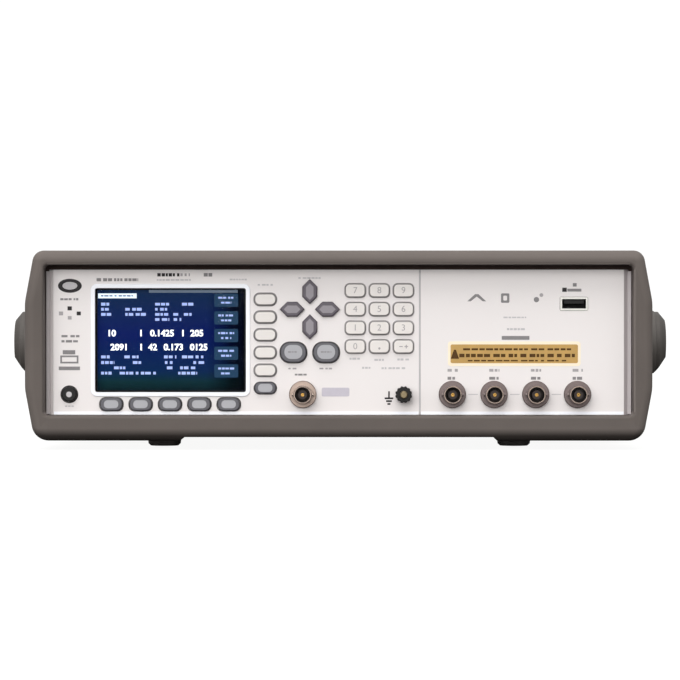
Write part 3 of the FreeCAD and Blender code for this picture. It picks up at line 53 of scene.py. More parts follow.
def centre(node):
    """The middle of a node's box."""
    low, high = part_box(node)
    return (low + high) / 2


def size(node):
    """The width, depth and height of a node's box."""
    low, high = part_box(node)
    return high - low


PANEL_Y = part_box("terminal_panel")[0].y
REAR_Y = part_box("rear_panel")[1].y
BUMPER_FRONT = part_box("front_bumper")[0].y
SCREEN_LOW, SCREEN_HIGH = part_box("lcd_window")
USB_SHELL = 7.05 * MM  # height of the USB port's shell, which stands on its small board
USB_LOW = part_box("front_usb_port")[1].z - USB_SHELL
BARREL_RIM = 0.3 * MM  # the bright rim at the front of a BNC barrel
BARREL_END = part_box("test_bncs")[0].y + BARREL_RIM
TERMINAL_ROW = centre("bias_bnc").z
BNC_HALF = 7.2 * MM  # half the width of a BNC socket's flange
BNC_PITCH = 22 * MM
TEST_X = [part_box("test_bncs")[0].x + BNC_HALF + BNC_PITCH * k for k in range(4)]
BORE_RADIUS = 4.2 * MM  # of a BNC socket's mouth
CONTACT_RADIUS = 0.95 * MM  # of the contact in its middle
BOARD_PLATE = 1.7 * MM  # a circuit board's thickness, with a little room

# ---------------------------------------------------------------------------------------------------
# Materials
# ---------------------------------------------------------------------------------------------------


def linear(colour):
    """An sRGB colour of 0 to 255 as linear RGBA."""
    channels = [c / 255 for c in colour]
    return [c / 12.92 if c <= 0.04045 else ((c + 0.055) / 1.055) ** 2.4 for c in channels] + [1.0]


WORN_FROM, WORN_TO = 0.505, 0.56  # pointiness where wear on an edge starts, and where it is full
LOW_SHADE_FROM, LOW_SHADE_TO = 7.6 * MM, 11.6 * MM  # heights between which the painted shade above the bench fades out


def material(
    name,
    colour,
    rough=0.5,
    metal=0.0,
    vary=0.05,
    mottle=30.0,
    grain=1800.0,
    bump=0.03,
    rough_vary=0.06,
    stretch=(1.0, 1.0, 1.0),
    worn=None,
    specular=0.5,
    glow=0.0,
    alpha=1.0,
    coat=0.0,
    sheen=0.0,
    low_shade=None,
):
    """A principled material with mottled colour, uneven roughness and a fine grain in its surface.

    worn is the colour of rubbed edges, the last argument that of painted shade on the stretch just above
    the bench, and bump the depth of the grain in millimetres.
    """
    made = bpy.data.materials.new(name)
    made.use_nodes = True
    nodes, links = made.node_tree.nodes, made.node_tree.links
    shader = nodes["Principled BSDF"]
    base = linear(colour)
    made.diffuse_color = base
    shader.inputs["Metallic"].default_value = metal
    shader.inputs["Specular IOR Level"].default_value = specular
    shader.inputs["Coat Weight"].default_value = coat
    shader.inputs["Sheen Weight"].default_value = sheen
    shader.inputs["Alpha"].default_value = alpha
    where = nodes.new("ShaderNodeTexCoord")
    spread = nodes.new("ShaderNodeMapping")
    spread.inputs["Scale"].default_value = stretch
    links.new(where.outputs["Object"], spread.inputs["Vector"])

    def noise(scale, detail):
        item = nodes.new("ShaderNodeTexNoise")
        item.inputs["Scale"].default_value = scale
        item.inputs["Detail"].default_value = detail
        links.new(spread.outputs["Vector"], item.inputs["Vector"])
        return item.outputs["Fac"]

    def remap(source, low, high, start=0.3, end=0.7):
        item = nodes.new("ShaderNodeMapRange")
        item.inputs["From Min"].default_value = start
        item.inputs["From Max"].default_value = end
        item.inputs["To Min"].default_value = low
        item.inputs["To Max"].default_value = high
        links.new(source, item.inputs["Value"])
        return item.outputs["Result"]

    def mix(factor, first, second):
        item = nodes.new("ShaderNodeMix")
        item.data_type = "RGBA"
        links.new(factor, item.inputs[0])
        for socket, value in ((item.inputs[6], first), (item.inputs[7], second)):
            if isinstance(value, bpy.types.NodeSocket):
                links.new(value, socket)
            else:
                socket.default_value = value
        return item.outputs[2]

    patches = noise(mottle, 5.0)
    dark = [c * (1 - vary) for c in base[:3]] + [1.0]
    light = [min(1.0, c * (1 + vary)) for c in base[:3]] + [1.0]
    tint = mix(remap(patches, 0.0, 1.0), dark, light)
    if worn is not None:
        shape = nodes.new("ShaderNodeNewGeometry")
        rubbed = remap(shape.outputs["Pointiness"], 0.0, 1.0, WORN_FROM, WORN_TO)
        tint = mix(rubbed, tint, linear(worn))
    # Painted shade: the colour darkens towards the bottom, where the underside gets little light.
    if low_shade is not None:
        parts = nodes.new("ShaderNodeSeparateXYZ")
        links.new(where.outputs["Object"], parts.inputs["Vector"])
        unshaded = remap(parts.outputs["Z"], 0.0, 1.0, LOW_SHADE_FROM, LOW_SHADE_TO)
        tint = mix(unshaded, linear(low_shade), tint)
    fine = noise(grain, 3.0)
    links.new(tint, shader.inputs["Base Color"])
    low, high = max(0.02, rough - rough_vary), min(1.0, rough + rough_vary)
    links.new(remap(patches, low, high), shader.inputs["Roughness"])
    relief = nodes.new("ShaderNodeBump")
    relief.inputs["Strength"].default_value = 0.5
    relief.inputs["Distance"].default_value = bump * MM
    links.new(fine, relief.inputs["Height"])
    links.new(relief.outputs["Normal"], shader.inputs["Normal"])
    if glow:
        links.new(tint, shader.inputs["Emission Color"])
        shader.inputs["Emission Strength"].default_value = glow
    return made


# The bumper's darker stretch just above the bench is painted shade.
RUBBER = material(
    "bumper_rubber", (94, 87, 83), 0.72, vary=0.08, grain=2600, bump=0.06, worn=(122, 114, 110),
    specular=0.22, low_shade=(50, 45, 42),
)
PANEL = material("panel_plastic", (228, 223, 222), 0.55, vary=0.015, mottle=12, grain=3200, bump=0.02)
# The white of the bezel's foremost faces, also used for a painted highlight along the panel's foot.
BEAD_AND_HIGHLIGHT = material("bead_and_highlight_plastic", (244, 246, 252), 0.4, vary=0.01, mottle=12, grain=3200, bump=0.01)
# A grey copy of the panel plastic: painted shade on the bevels that face right and on the panel's side
# rims.
BEVEL_SHADE = material("bevel_painted_shade", (186, 179, 180), 0.5, vary=0.03, mottle=25, grain=3200, bump=0.02)
COVER = material("cover_paint", (160, 155, 147), 0.55, vary=0.015, mottle=20, grain=1500, bump=0.06)
STEEL = material(
    "zinc_plate", (176, 178, 176), 0.38, 0.9, vary=0.08, mottle=90, stretch=(1, 8, 1), bump=0.02
)
KEY_LIGHT = material("key_light", (221, 216, 212), 0.5, vary=0.02, grain=4000, bump=0.02)
# Painted shade: a darker copy of the light key plastic for the faces of a key that don't face the front.
KEY_LIGHT_SIDE_SHADE = material("key_edge", (150, 146, 146), 0.5, vary=0.04, grain=4000, bump=0.02)
KEY_GREY = material("key_grey", (86, 85, 91), 0.48, vary=0.03, grain=4000, bump=0.02)
# Painted shade: a darker copy of the grey key plastic for the faces of a key that don't face the front.
KEY_GREY_SIDE_SHADE = material("key_grey_edge", (70, 68, 74), 0.48, vary=0.05, grain=4000, bump=0.02)
# A lighter grey for the middle of the grey keys: painted highlight.
KEY_TOP_HIGHLIGHT = material("key_top", (164, 164, 169), 0.48, vary=0.02, grain=4000, bump=0.02)
KEY_DARK = material("key_dark", (84, 77, 86), 0.5, vary=0.05, grain=4000, bump=0.02)
KEY_INSET = material("key_inset", (138, 133, 139), 0.5, vary=0.03, grain=4000, bump=0.02)
# Ink colours for print; the dark, mid and grey ones also give the painted shade in the rings round the
# keys.
INK_AND_SHADE_DARK = material("ink_and_shade_dark", (46, 43, 44), 0.6, vary=0.1, mottle=300, bump=0.01, specular=0.2)
INK_AND_SHADE_MID = material("ink_and_shade_mid", (164, 160, 161), 0.6, vary=0.04, mottle=300, bump=0.01, specular=0.2)
INK_AND_SHADE_GREY = material("ink_and_shade_grey", (132, 129, 130), 0.6, vary=0.06, mottle=300, bump=0.01, specular=0.2)
# The pale ink is also used for painted light: over the seam's shade and as the power button's highlight.
PALE_INK_AND_LIGHT = material("ink_pale_and_painted_light", (190, 187, 189), 0.6, vary=0.03, mottle=300, bump=0.01, specular=0.2)
INK_LILAC = material("ink_lilac", (193, 188, 198), 0.6, vary=0.03, mottle=300, bump=0.01, specular=0.2)
AMBER = material("label_amber", (186, 149, 84), 0.5, vary=0.07, mottle=150, bump=0.01, specular=0.3)
AMBER_EDGE = material("label_amber_edge", (244, 230, 203), 0.45, vary=0.02, mottle=150, bump=0.01)
AMBER_INK = material("label_amber_ink", (78, 50, 10), 0.5, vary=0.15, mottle=400, bump=0.01, specular=0.2)
BLACK = material("black_plastic", (22, 21, 21), 0.5, vary=0.1, grain=2500, bump=0.04, specular=0.25)
# A dark strip for the shade in the gap round the panel: painted shade.
GAP_SHADE_DARK = material(
    "gap_painted_shade", (64, 53, 50), 0.9, vary=0.12, mottle=200, grain=3000, bump=0.05, specular=0.1
)
GLASS = material("window_glass", (14, 20, 34), 0.1, vary=0.05, bump=0.001, specular=0.12, alpha=0.1)
NICKEL = material(
    "nickel_warm", (150, 134, 124), 0.32, 0.8, vary=0.1, mottle=200, stretch=(1, 6, 1), bump=0.01
)
NICKEL_DULL = material("nickel_dull", (112, 100, 98), 0.42, 0.6, vary=0.12, mottle=240, bump=0.01)
GOLD = material("gold_contact", (176, 138, 74), 0.3, 1.0, vary=0.06, mottle=200, bump=0.005)
INSULATOR = material("insulator_dark", (58, 50, 48), 0.5, vary=0.06, bump=0.01, specular=0.2)
STUD = material("stud_brass", (120, 108, 84), 0.35, 0.9, vary=0.08, mottle=200, bump=0.01)
HANDLE = material(
    "handle_plastic", (86, 82, 79), 0.6, vary=0.06, grain=2400, bump=0.06, worn=(108, 104, 100),
    specular=0.25,
)
CAPS = material(
    "cap_plastic", (69, 65, 62), 0.6, vary=0.06, grain=2400, bump=0.05, worn=(84, 80, 77), specular=0.25
)
GRIP = material("grip_rubber", (58, 56, 54), 0.75, vary=0.08, grain=2000, bump=0.08, sheen=0.1)
FOOT = material("foot_rubber", (96, 92, 89), 0.8, vary=0.08, grain=2200, bump=0.06)
SCREW = material("screw_steel", (166, 166, 168), 0.3, 1.0, vary=0.08, mottle=300, bump=0.01)
TIN = material(
    "socket_tin", (188, 187, 182), 0.36, 0.9, vary=0.03, mottle=160, stretch=(1, 5, 1), bump=0.005,
    rough_vary=0.02,
)
BOARD = material("board_green", (30, 92, 54), 0.45, vary=0.12, mottle=220, grain=900, bump=0.03, coat=0.3)
DISPLAY = material("display_frame", (20, 21, 24), 0.5, vary=0.1, bump=0.02, specular=0.15)
CAN = material(
    "screen_can", (186, 188, 192), 0.34, 1.0, vary=0.05, mottle=60, stretch=(6, 1, 1), bump=0.02
)
IRON = material(
    "transformer_iron", (92, 88, 84), 0.5, 0.7, vary=0.15, mottle=150, stretch=(1, 1, 20), bump=0.08
)
FAN = material("fan_plastic", (32, 32, 33), 0.5, vary=0.08, grain=1800, bump=0.04, specular=0.3)
LENS_GREEN = material("lens_green", (70, 170, 92), 0.25, vary=0.05, bump=0.005, glow=0.4)
LENS_AMBER = material("lens_amber", (214, 150, 50), 0.25, vary=0.05, bump=0.005, glow=0.4)


def paint(node, base, *others):
    """Gives a CAD node its material, and others to the faces that a test on centre and normal picks."""
    mesh = NODES[node].data
    mesh.materials.clear()
    mesh.materials.append(base)
    for face in mesh.polygons:
        face.material_index = 0
    for index, (other, test) in enumerate(others, start=1):
        mesh.materials.append(other)
        for face in mesh.polygons:
            if test(face.center, face.normal):
                face.material_index = index


def facing_front(_, normal):
    return normal.y < -0.93


# ---------------------------------------------------------------------------------------------------
# Flat prints, marks and small plates
# ---------------------------------------------------------------------------------------------------


def finish_piece(name, mesh, body, look, smooth=False):
    """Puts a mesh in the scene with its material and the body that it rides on."""
    piece = bpy.data.objects.new(name, mesh)
    bpy.context.scene.collection.objects.link(piece)
    mesh.materials.append(look)
    for face in mesh.polygons:
        face.use_smooth = smooth
    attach(piece, body)
    return piece


class Plates:
    """Thin plates that face the front (or the rear), gathered into one mesh.

    They lie on the plane at y, stand proud of it by rise, and reach into what is behind it by sunk.
    """

    def __init__(self, name, y, rise=0.08 * MM, sunk=0.03 * MM, rear=False):
        self.name, self.mesh = name, bmesh.new()
        side = 1 if rear else -1
        self.outer, self.inner = y + side * rise, y - side * sunk

    def loop(self, points, y):
        """New vertices at a depth, from points of x and z."""
        return [self.mesh.verts.new((x, y, z)) for x, z in points]

    def solid(self, points):
        """A filled plate."""
        front, back = self.loop(points, self.outer), self.loop(points, self.inner)
        count = len(points)
        self.mesh.faces.new(front)
        self.mesh.faces.new(back[::-1])
        for k in range(count):
            n = (k + 1) % count
            self.mesh.faces.new((front[k], back[k], back[n], front[n]))

    def ring(self, outside, inside):
        """A plate with a hole, from two outlines with the same number of points."""
        a, b, c, d = (self.loop(p, y) for p in (outside, inside) for y in (self.outer, self.inner))
        count = len(outside)
        for k in range(count):
            n = (k + 1) % count
            self.mesh.faces.new((a[k], a[n], c[n], c[k]))
            self.mesh.faces.new((b[k], d[k], d[n], b[n]))
            self.mesh.faces.new((a[k], b[k], b[n], a[n]))
            self.mesh.faces.new((c[k], c[n], d[n], d[k]))

    def bar(self, x, z, width, height):
        """A filled rectangle round a middle."""
        self.solid(rectangle(x, z, width, height))

    def done(self, body, look, slot):
        """Closes the mesh and makes it a piece."""
        bmesh.ops.recalc_face_normals(self.mesh, faces=self.mesh.faces)
        data = bpy.data.meshes.new(self.name)
        self.mesh.to_mesh(data)
        self.mesh.free()
        finish_piece(self.name, data, body, look)


def rectangle(x, z, width, height):
    a, b = width / 2, height / 2
    return [(x - a, z - b), (x + a, z - b), (x + a, z + b), (x - a, z + b)]


def ellipse(x, z, a, b, count=40):
    turns = [2 * math.pi * k / count for k in range(count)]
    return [(x + a * math.cos(t), z + b * math.sin(t)) for t in turns]


def pill(x, z, width, height, corner, steps=8):
    """A rectangle with round corners, as points that go round it in order."""
    corner = min(corner, width / 2 - 1e-6, height / 2 - 1e-6)
    points = []
    for quarter, (sx, sz) in enumerate(((1, 1), (-1, 1), (-1, -1), (1, -1))):
        cx, cz = x + sx * (width / 2 - corner), z + sz * (height / 2 - corner)
        for k in range(steps + 1):
            t = math.pi / 2 * (quarter + k / steps)
            points.append((cx + corner * math.cos(t), cz + corner * math.sin(t)))
    return points


def lozenge(x, z, far, half, upright):
    """A long six-cornered outline with pointed ends, far from end to middle and half across."""
    shoulder = far - half
    left_side = [(0, far), (-half, shoulder), (-half, -shoulder)]
    points = left_side + [(-a, -b) for a, b in left_side]
    if not upright:
        points = [(b, -a) for a, b in points]
    return [(x + a, z + b) for a, b in points]


def words(plates, x, z, width, height, seed, pitch=1.5 * MM):
    """A line of printed matter drawn as short bars of uneven length that fill a width."""
    draw = random.Random(seed)
    left, end = x - width / 2, x + width / 2
    while left < end - 0.3 * MM:
        length = min(draw.uniform(0.6, 1.6) * pitch, end - left)
        plates.bar(left + length / 2, z, length, height * draw.uniform(0.85, 1.0))
        left += length + draw.choice((0.25, 0.3, 0.7)) * pitch


SIZE_OF_HEIGHT = 1.38  # the font's size for a numeral of height 1


def lettering(name, entries, y, body, look, rise=0.05 * MM, sunk=0.05 * MM, heavier=0.0):
    """Numerals that face the front, as one mesh: each entry is text, x, z and height.

    heavier widens every stroke by that much on each side.
    """
    joined = bmesh.new()
    for string, x, z, height in entries:
        curve = bpy.data.curves.new(f"{name}_curve", "FONT")
        curve.body = string
        curve.align_x, curve.align_y = "CENTER", "CENTER"
        curve.size = height * SIZE_OF_HEIGHT
        curve.resolution_u = 4
        curve.offset = heavier
        curve.extrude = (rise + sunk) / 2
        maker = bpy.data.objects.new(f"{name}_maker", curve)
        bpy.context.scene.collection.objects.link(maker)
        bpy.context.view_layer.update()
        data = bpy.data.meshes.new_from_object(maker)
        turn = Matrix.Translation((x, y - (rise - sunk) / 2, z)) @ Matrix.Rotation(math.pi / 2, 4, "X")
        data.transform(turn)
        joined.from_mesh(data)
        bpy.data.objects.remove(maker)
        bpy.data.curves.remove(curve)
        bpy.data.meshes.remove(data)
    bmesh.ops.remove_doubles(joined, verts=joined.verts, dist=1e-7)
    data = bpy.data.meshes.new(name)
    joined.to_mesh(data)
    joined.free()
    finish_piece(name, data, body, look)


# ---------------------------------------------------------------------------------------------------
# CAD nodes
# ---------------------------------------------------------------------------------------------------

SOFT_KEYS = [f"softkey_{k}" for k in range(1, 7)]
MENU_KEYS = [f"menu_key_{k}" for k in range(1, 6)]
ARROWS = ["arrow_up", "arrow_down", "arrow_left", "arrow_right"]
ACTIONS = ["preset_key", "trigger_key"]
DIGITS = {f"key_{k}": str(k) for k in range(10)} | {"key_point": ".", "key_sign": "-"}

# Nodes with one material all over.
PLAIN_NODES = {
    "front_bumper": RUBBER,
    "rear_bumper": RUBBER,
    "top_cover": COVER,
    "rear_panel": COVER,
    "chassis_tray": STEEL,
    "feet": FOOT,
    "fixing_screws": SCREW,
    "lcd_window": GLASS,
    "lcd_module": DISPLAY,
    "ground_post": STUD,
    "ground_nut": BLACK,
    "power_button": BLACK,
    "pivot_hubs": HANDLE,
    "carry_handle": HANDLE,
    "hub_caps": CAPS,
    "rear_ports": TIN,
    "fuse_drawer": BLACK,
    "fan_frame": FAN,
    "fan_rotor": FAN,
}


def paint_nodes():
    """Gives every CAD node but the plain grip its materials; ribbed_grip puts the ribbed one in its
    place.
    """
    for node, look in PLAIN_NODES.items():
        paint(node, look)
    for node in ARROWS:
        paint(node, KEY_DARK)
    # The faces of each key that don't face the front get painted shade.
    for node in [*SOFT_KEYS[:5], *DIGITS]:
        paint(node, KEY_LIGHT_SIDE_SHADE, (KEY_LIGHT, facing_front))
    for node in [SOFT_KEYS[5], *MENU_KEYS, *ACTIONS]:
        paint(node, KEY_GREY_SIDE_SHADE, (KEY_GREY, facing_front))

    bead = PANEL_Y - 0.05 * MM

    def on_bead(c, _):
        return c.y < bead

    # Painted shade on the bevels that face right; those that face left keep the panel's white.
    def on_bevel(_, n):
        return n.x > 0.3 and n.y < -0.3

    paint("front_bezel", PANEL, (BEAD_AND_HIGHLIGHT, on_bead))
    paint("terminal_panel", PANEL, (BEVEL_SHADE, on_bevel))
    rim_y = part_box("front_usb_port")[0].y + 0.05 * MM
    paint("front_usb_port", BLACK, (TIN, lambda c, n: c.y < rim_y), (BOARD, lambda c, n: c.z < USB_LOW))
    axes = [*TEST_X, centre("bias_bnc").x]

    def from_axis(c):
        return min(math.hypot(c.x - x, c.z - TERMINAL_ROW) for x in axes)

    # Faces inside a socket's mouth, which are painted black: painted shade in the bore.
    def in_bore(c, _):
        return from_axis(c) < BORE_RADIUS

    def on_contact(c, _):
        return from_axis(c) < CONTACT_RADIUS

    # The bores of the sockets are black: painted shade.
    paint("test_bncs", NICKEL_DULL, (NICKEL, lambda c, n: c.y < BARREL_END), (BLACK, in_bore))
    paint("bias_bnc", NICKEL, (BLACK, in_bore))
    paint("bnc_insulators", INSULATOR, (GOLD, on_contact))

    paint("ac_inlet", BLACK, (TIN, on_inlet_pin))
    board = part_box("keyboard_board")[1].y - BOARD_PLATE
    paint("keyboard_board", BOARD, (BLACK, lambda c, n: c.y < board))
    paint("power_supply", IRON, (BOARD, lambda c, n: c.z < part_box("power_supply")[0].z + BOARD_PLATE))
    paint("main_board", BOARD, (BLACK, lambda c, n: c.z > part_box("main_board")[0].z + BOARD_PLATE))
    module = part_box("measurement_module")[0].z + BOARD_PLATE
    paint("measurement_module", CAN, (BOARD, lambda c, n: c.z < module))


def on_inlet_pin(c, _):
    """Whether a face of the mains inlet is on one of the three pins in its cavity, by its centre."""
    low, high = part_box("ac_inlet")
    cavity_x = low.x + 17.8 * MM
    across, up, depth = abs(c.x - cavity_x), abs(c.z - (low.z + high.z) / 2), high.y - c.y
    return across < 8.2 * MM and up < 5.2 * MM and 6 * MM < depth < 16 * MM


# ---------------------------------------------------------------------------------------------------
# Front panel
# ---------------------------------------------------------------------------------------------------


def gasket():
    """Painted gaps round the panel: a dark strip and grey rims of painted shade, and a pale seam of
    painted light.
    """
    low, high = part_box("terminal_panel")
    deep = 2.0 * MM  # how far each of them reaches in, so that no gap shows
    # Painted shade: a dark strip in the gap round the panel, widest under the bumper's top lip.
    plates = Plates("gasket", PANEL_Y + 0.9 * MM, rise=0.2 * MM, sunk=deep)
    middle, height = (low.z + high.z) / 2, high.z - low.z
    outside = rectangle(0, middle + 1.1 * MM, 2 * high.x + 3.4 * MM, height + 2.6 * MM)
    inside = rectangle(0, middle, 2 * high.x + 0.1 * MM, height + 0.1 * MM)
    plates.ring(outside, inside)
    plates.done("cabinet", GAP_SHADE_DARK, "black_plastic")
    # The side rims are the bezel's white flanges, given painted shade.
    for name, side in (("left", -1), ("right", 1)):
        rim = Plates(f"panel_rim_{name}", PANEL_Y, rise=0.1 * MM, sunk=deep)
        rim.bar(side * (high.x + 0.4 * MM), middle - 0.2 * MM, 1.9 * MM, height - 1.2 * MM)
        rim.done("cabinet", BEVEL_SHADE, "panel_white")
    # Painted light: a pale strip over the shade of the seam between the panels.
    seam = Plates("panel_seam", PANEL_Y + 0.6 * MM, rise=0.2 * MM, sunk=deep)
    seam.bar(low.x - 0.5 * MM, middle, 0.9 * MM, height - 0.4 * MM)
    seam.done("cabinet", PALE_INK_AND_LIGHT, "panel_white")


KEY_FLANGE = 0.5 * MM  # how far a key's hidden flange reaches past its cap


def round_cap(node, corner, across, up):
    """An outline round a key's cap, past it by a distance sideways and by another upwards."""
    spot, whole = centre(node), size(node)
    width = whole.x + 2 * (across - KEY_FLANGE)
    height = whole.z + 2 * (up - KEY_FLANGE)
    return pill(spot.x, spot.z, width, height, corner + up)


def key_outlines():
    """Dark rings round the keys, a small gap from each cap: painted shade of the gaps round the keys."""
    gap = 0.22 * MM
    # Each row: name, keys, corner of the cap, reach of the ring sideways and upwards, colour of its
    # painted shade.
    for name, nodes, corner, wide, tall, look in (
        ("key_outlines_soft", SOFT_KEYS[:5], 2.7, 0.7, 0.66, INK_AND_SHADE_GREY),
        ("key_outlines_digits", list(DIGITS), 2.4, 0.5, 0.5, INK_AND_SHADE_MID),
        ("key_outlines_menu", [*MENU_KEYS, SOFT_KEYS[5]], 3.0, 0.6, 0.42, INK_AND_SHADE_DARK),
        ("key_outlines_action", ACTIONS, 5.0, 0.6, 0.5, INK_AND_SHADE_DARK),
    ):
        plates = Plates(name, PANEL_Y)
        for node in nodes:
            outside = round_cap(node, corner * MM, wide * MM, tall * MM)
            plates.ring(outside, round_cap(node, corner * MM, gap, gap))
        plates.done("cabinet", look, "key_grey")


def key_glyphs():
    """Numerals on the keypad, lighter marks on the arrows, and painted highlights on the other keys. Each
    rides on its own key.
    """
    raised = 0.12 * MM
    for node, mark in DIGITS.items():
        spot, face = centre(node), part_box(node)[0].y
        body = f"{node}_cap"
        if mark in ".-":
            plates = Plates(f"{node}_mark", face)
            if mark == ".":
                plates.solid(ellipse(spot.x, spot.z - 1 * MM, 0.6 * MM, 0.6 * MM, 16))
            else:
                plates.bar(spot.x - 1.3 * MM, spot.z, 1.8 * MM, 0.5 * MM)
                plates.bar(spot.x + 1.5 * MM, spot.z, 1.9 * MM, 0.5 * MM)
                plates.bar(spot.x + 1.5 * MM, spot.z + 0.6 * MM, 0.5 * MM, 0.7 * MM)
                plates.bar(spot.x + 1.5 * MM, spot.z - 0.6 * MM, 0.5 * MM, 0.7 * MM)
            plates.done(body, INK_AND_SHADE_MID, "key_grey")
        else:
            entry = (mark, spot.x, spot.z, 3.4 * MM)
            lettering(f"{node}_mark", [entry], face, body, INK_AND_SHADE_MID)
    for node in ARROWS:
        spot, face = centre(node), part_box(node)[0].y
        plates = Plates(f"{node}_inset", face, rise=0.15 * MM)
        upright = node in ("arrow_up", "arrow_down")
        plates.solid(lozenge(spot.x, spot.z, 4.4 * MM, 2.0 * MM, upright))
        plates.done(f"{node}_cap", KEY_INSET, "key_grey")
    # The oval keys get a lighter middle, a painted highlight, with bars for their words on it.
    for node in ACTIONS:
        spot, face = centre(node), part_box(node)[0].y
        plates = Plates(f"{node}_inset", face, rise=raised)
        plates.solid(pill(spot.x, spot.z + 0.3 * MM, 9.4 * MM, 7.4 * MM, 3.4 * MM))
        plates.done(f"{node}_cap", KEY_TOP_HIGHLIGHT, "key_grey")
        marks = Plates(f"{node}_mark", face - raised)
        words(marks, spot.x, spot.z + 0.3 * MM, 5.6 * MM, 0.7 * MM, node)
        marks.done(f"{node}_cap", INK_AND_SHADE_GREY, "key_grey")
    # The other grey keys get a lighter middle: painted highlight.
    for node in [SOFT_KEYS[5], *MENU_KEYS]:
        spot, face = centre(node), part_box(node)[0].y
        plates = Plates(f"{node}_inset", face, rise=raised)
        plates.solid(pill(spot.x, spot.z + 0.1 * MM, 7.6 * MM, 4.2 * MM, 1.9 * MM))
        plates.done(f"{node}_cap", KEY_TOP_HIGHLIGHT, "key_grey")
    # A pale disc in the middle of the black power button: painted highlight on its dimple.
    spot, face = centre("power_button"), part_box("power_button")[0].y
    plates = Plates("power_button_inset", face, rise=0.1 * MM)
    plates.solid(ellipse(spot.x, spot.z, 1.5 * MM, 1.5 * MM, 28))
    plates.done("power_switch", PALE_INK_AND_LIGHT, "key_light")


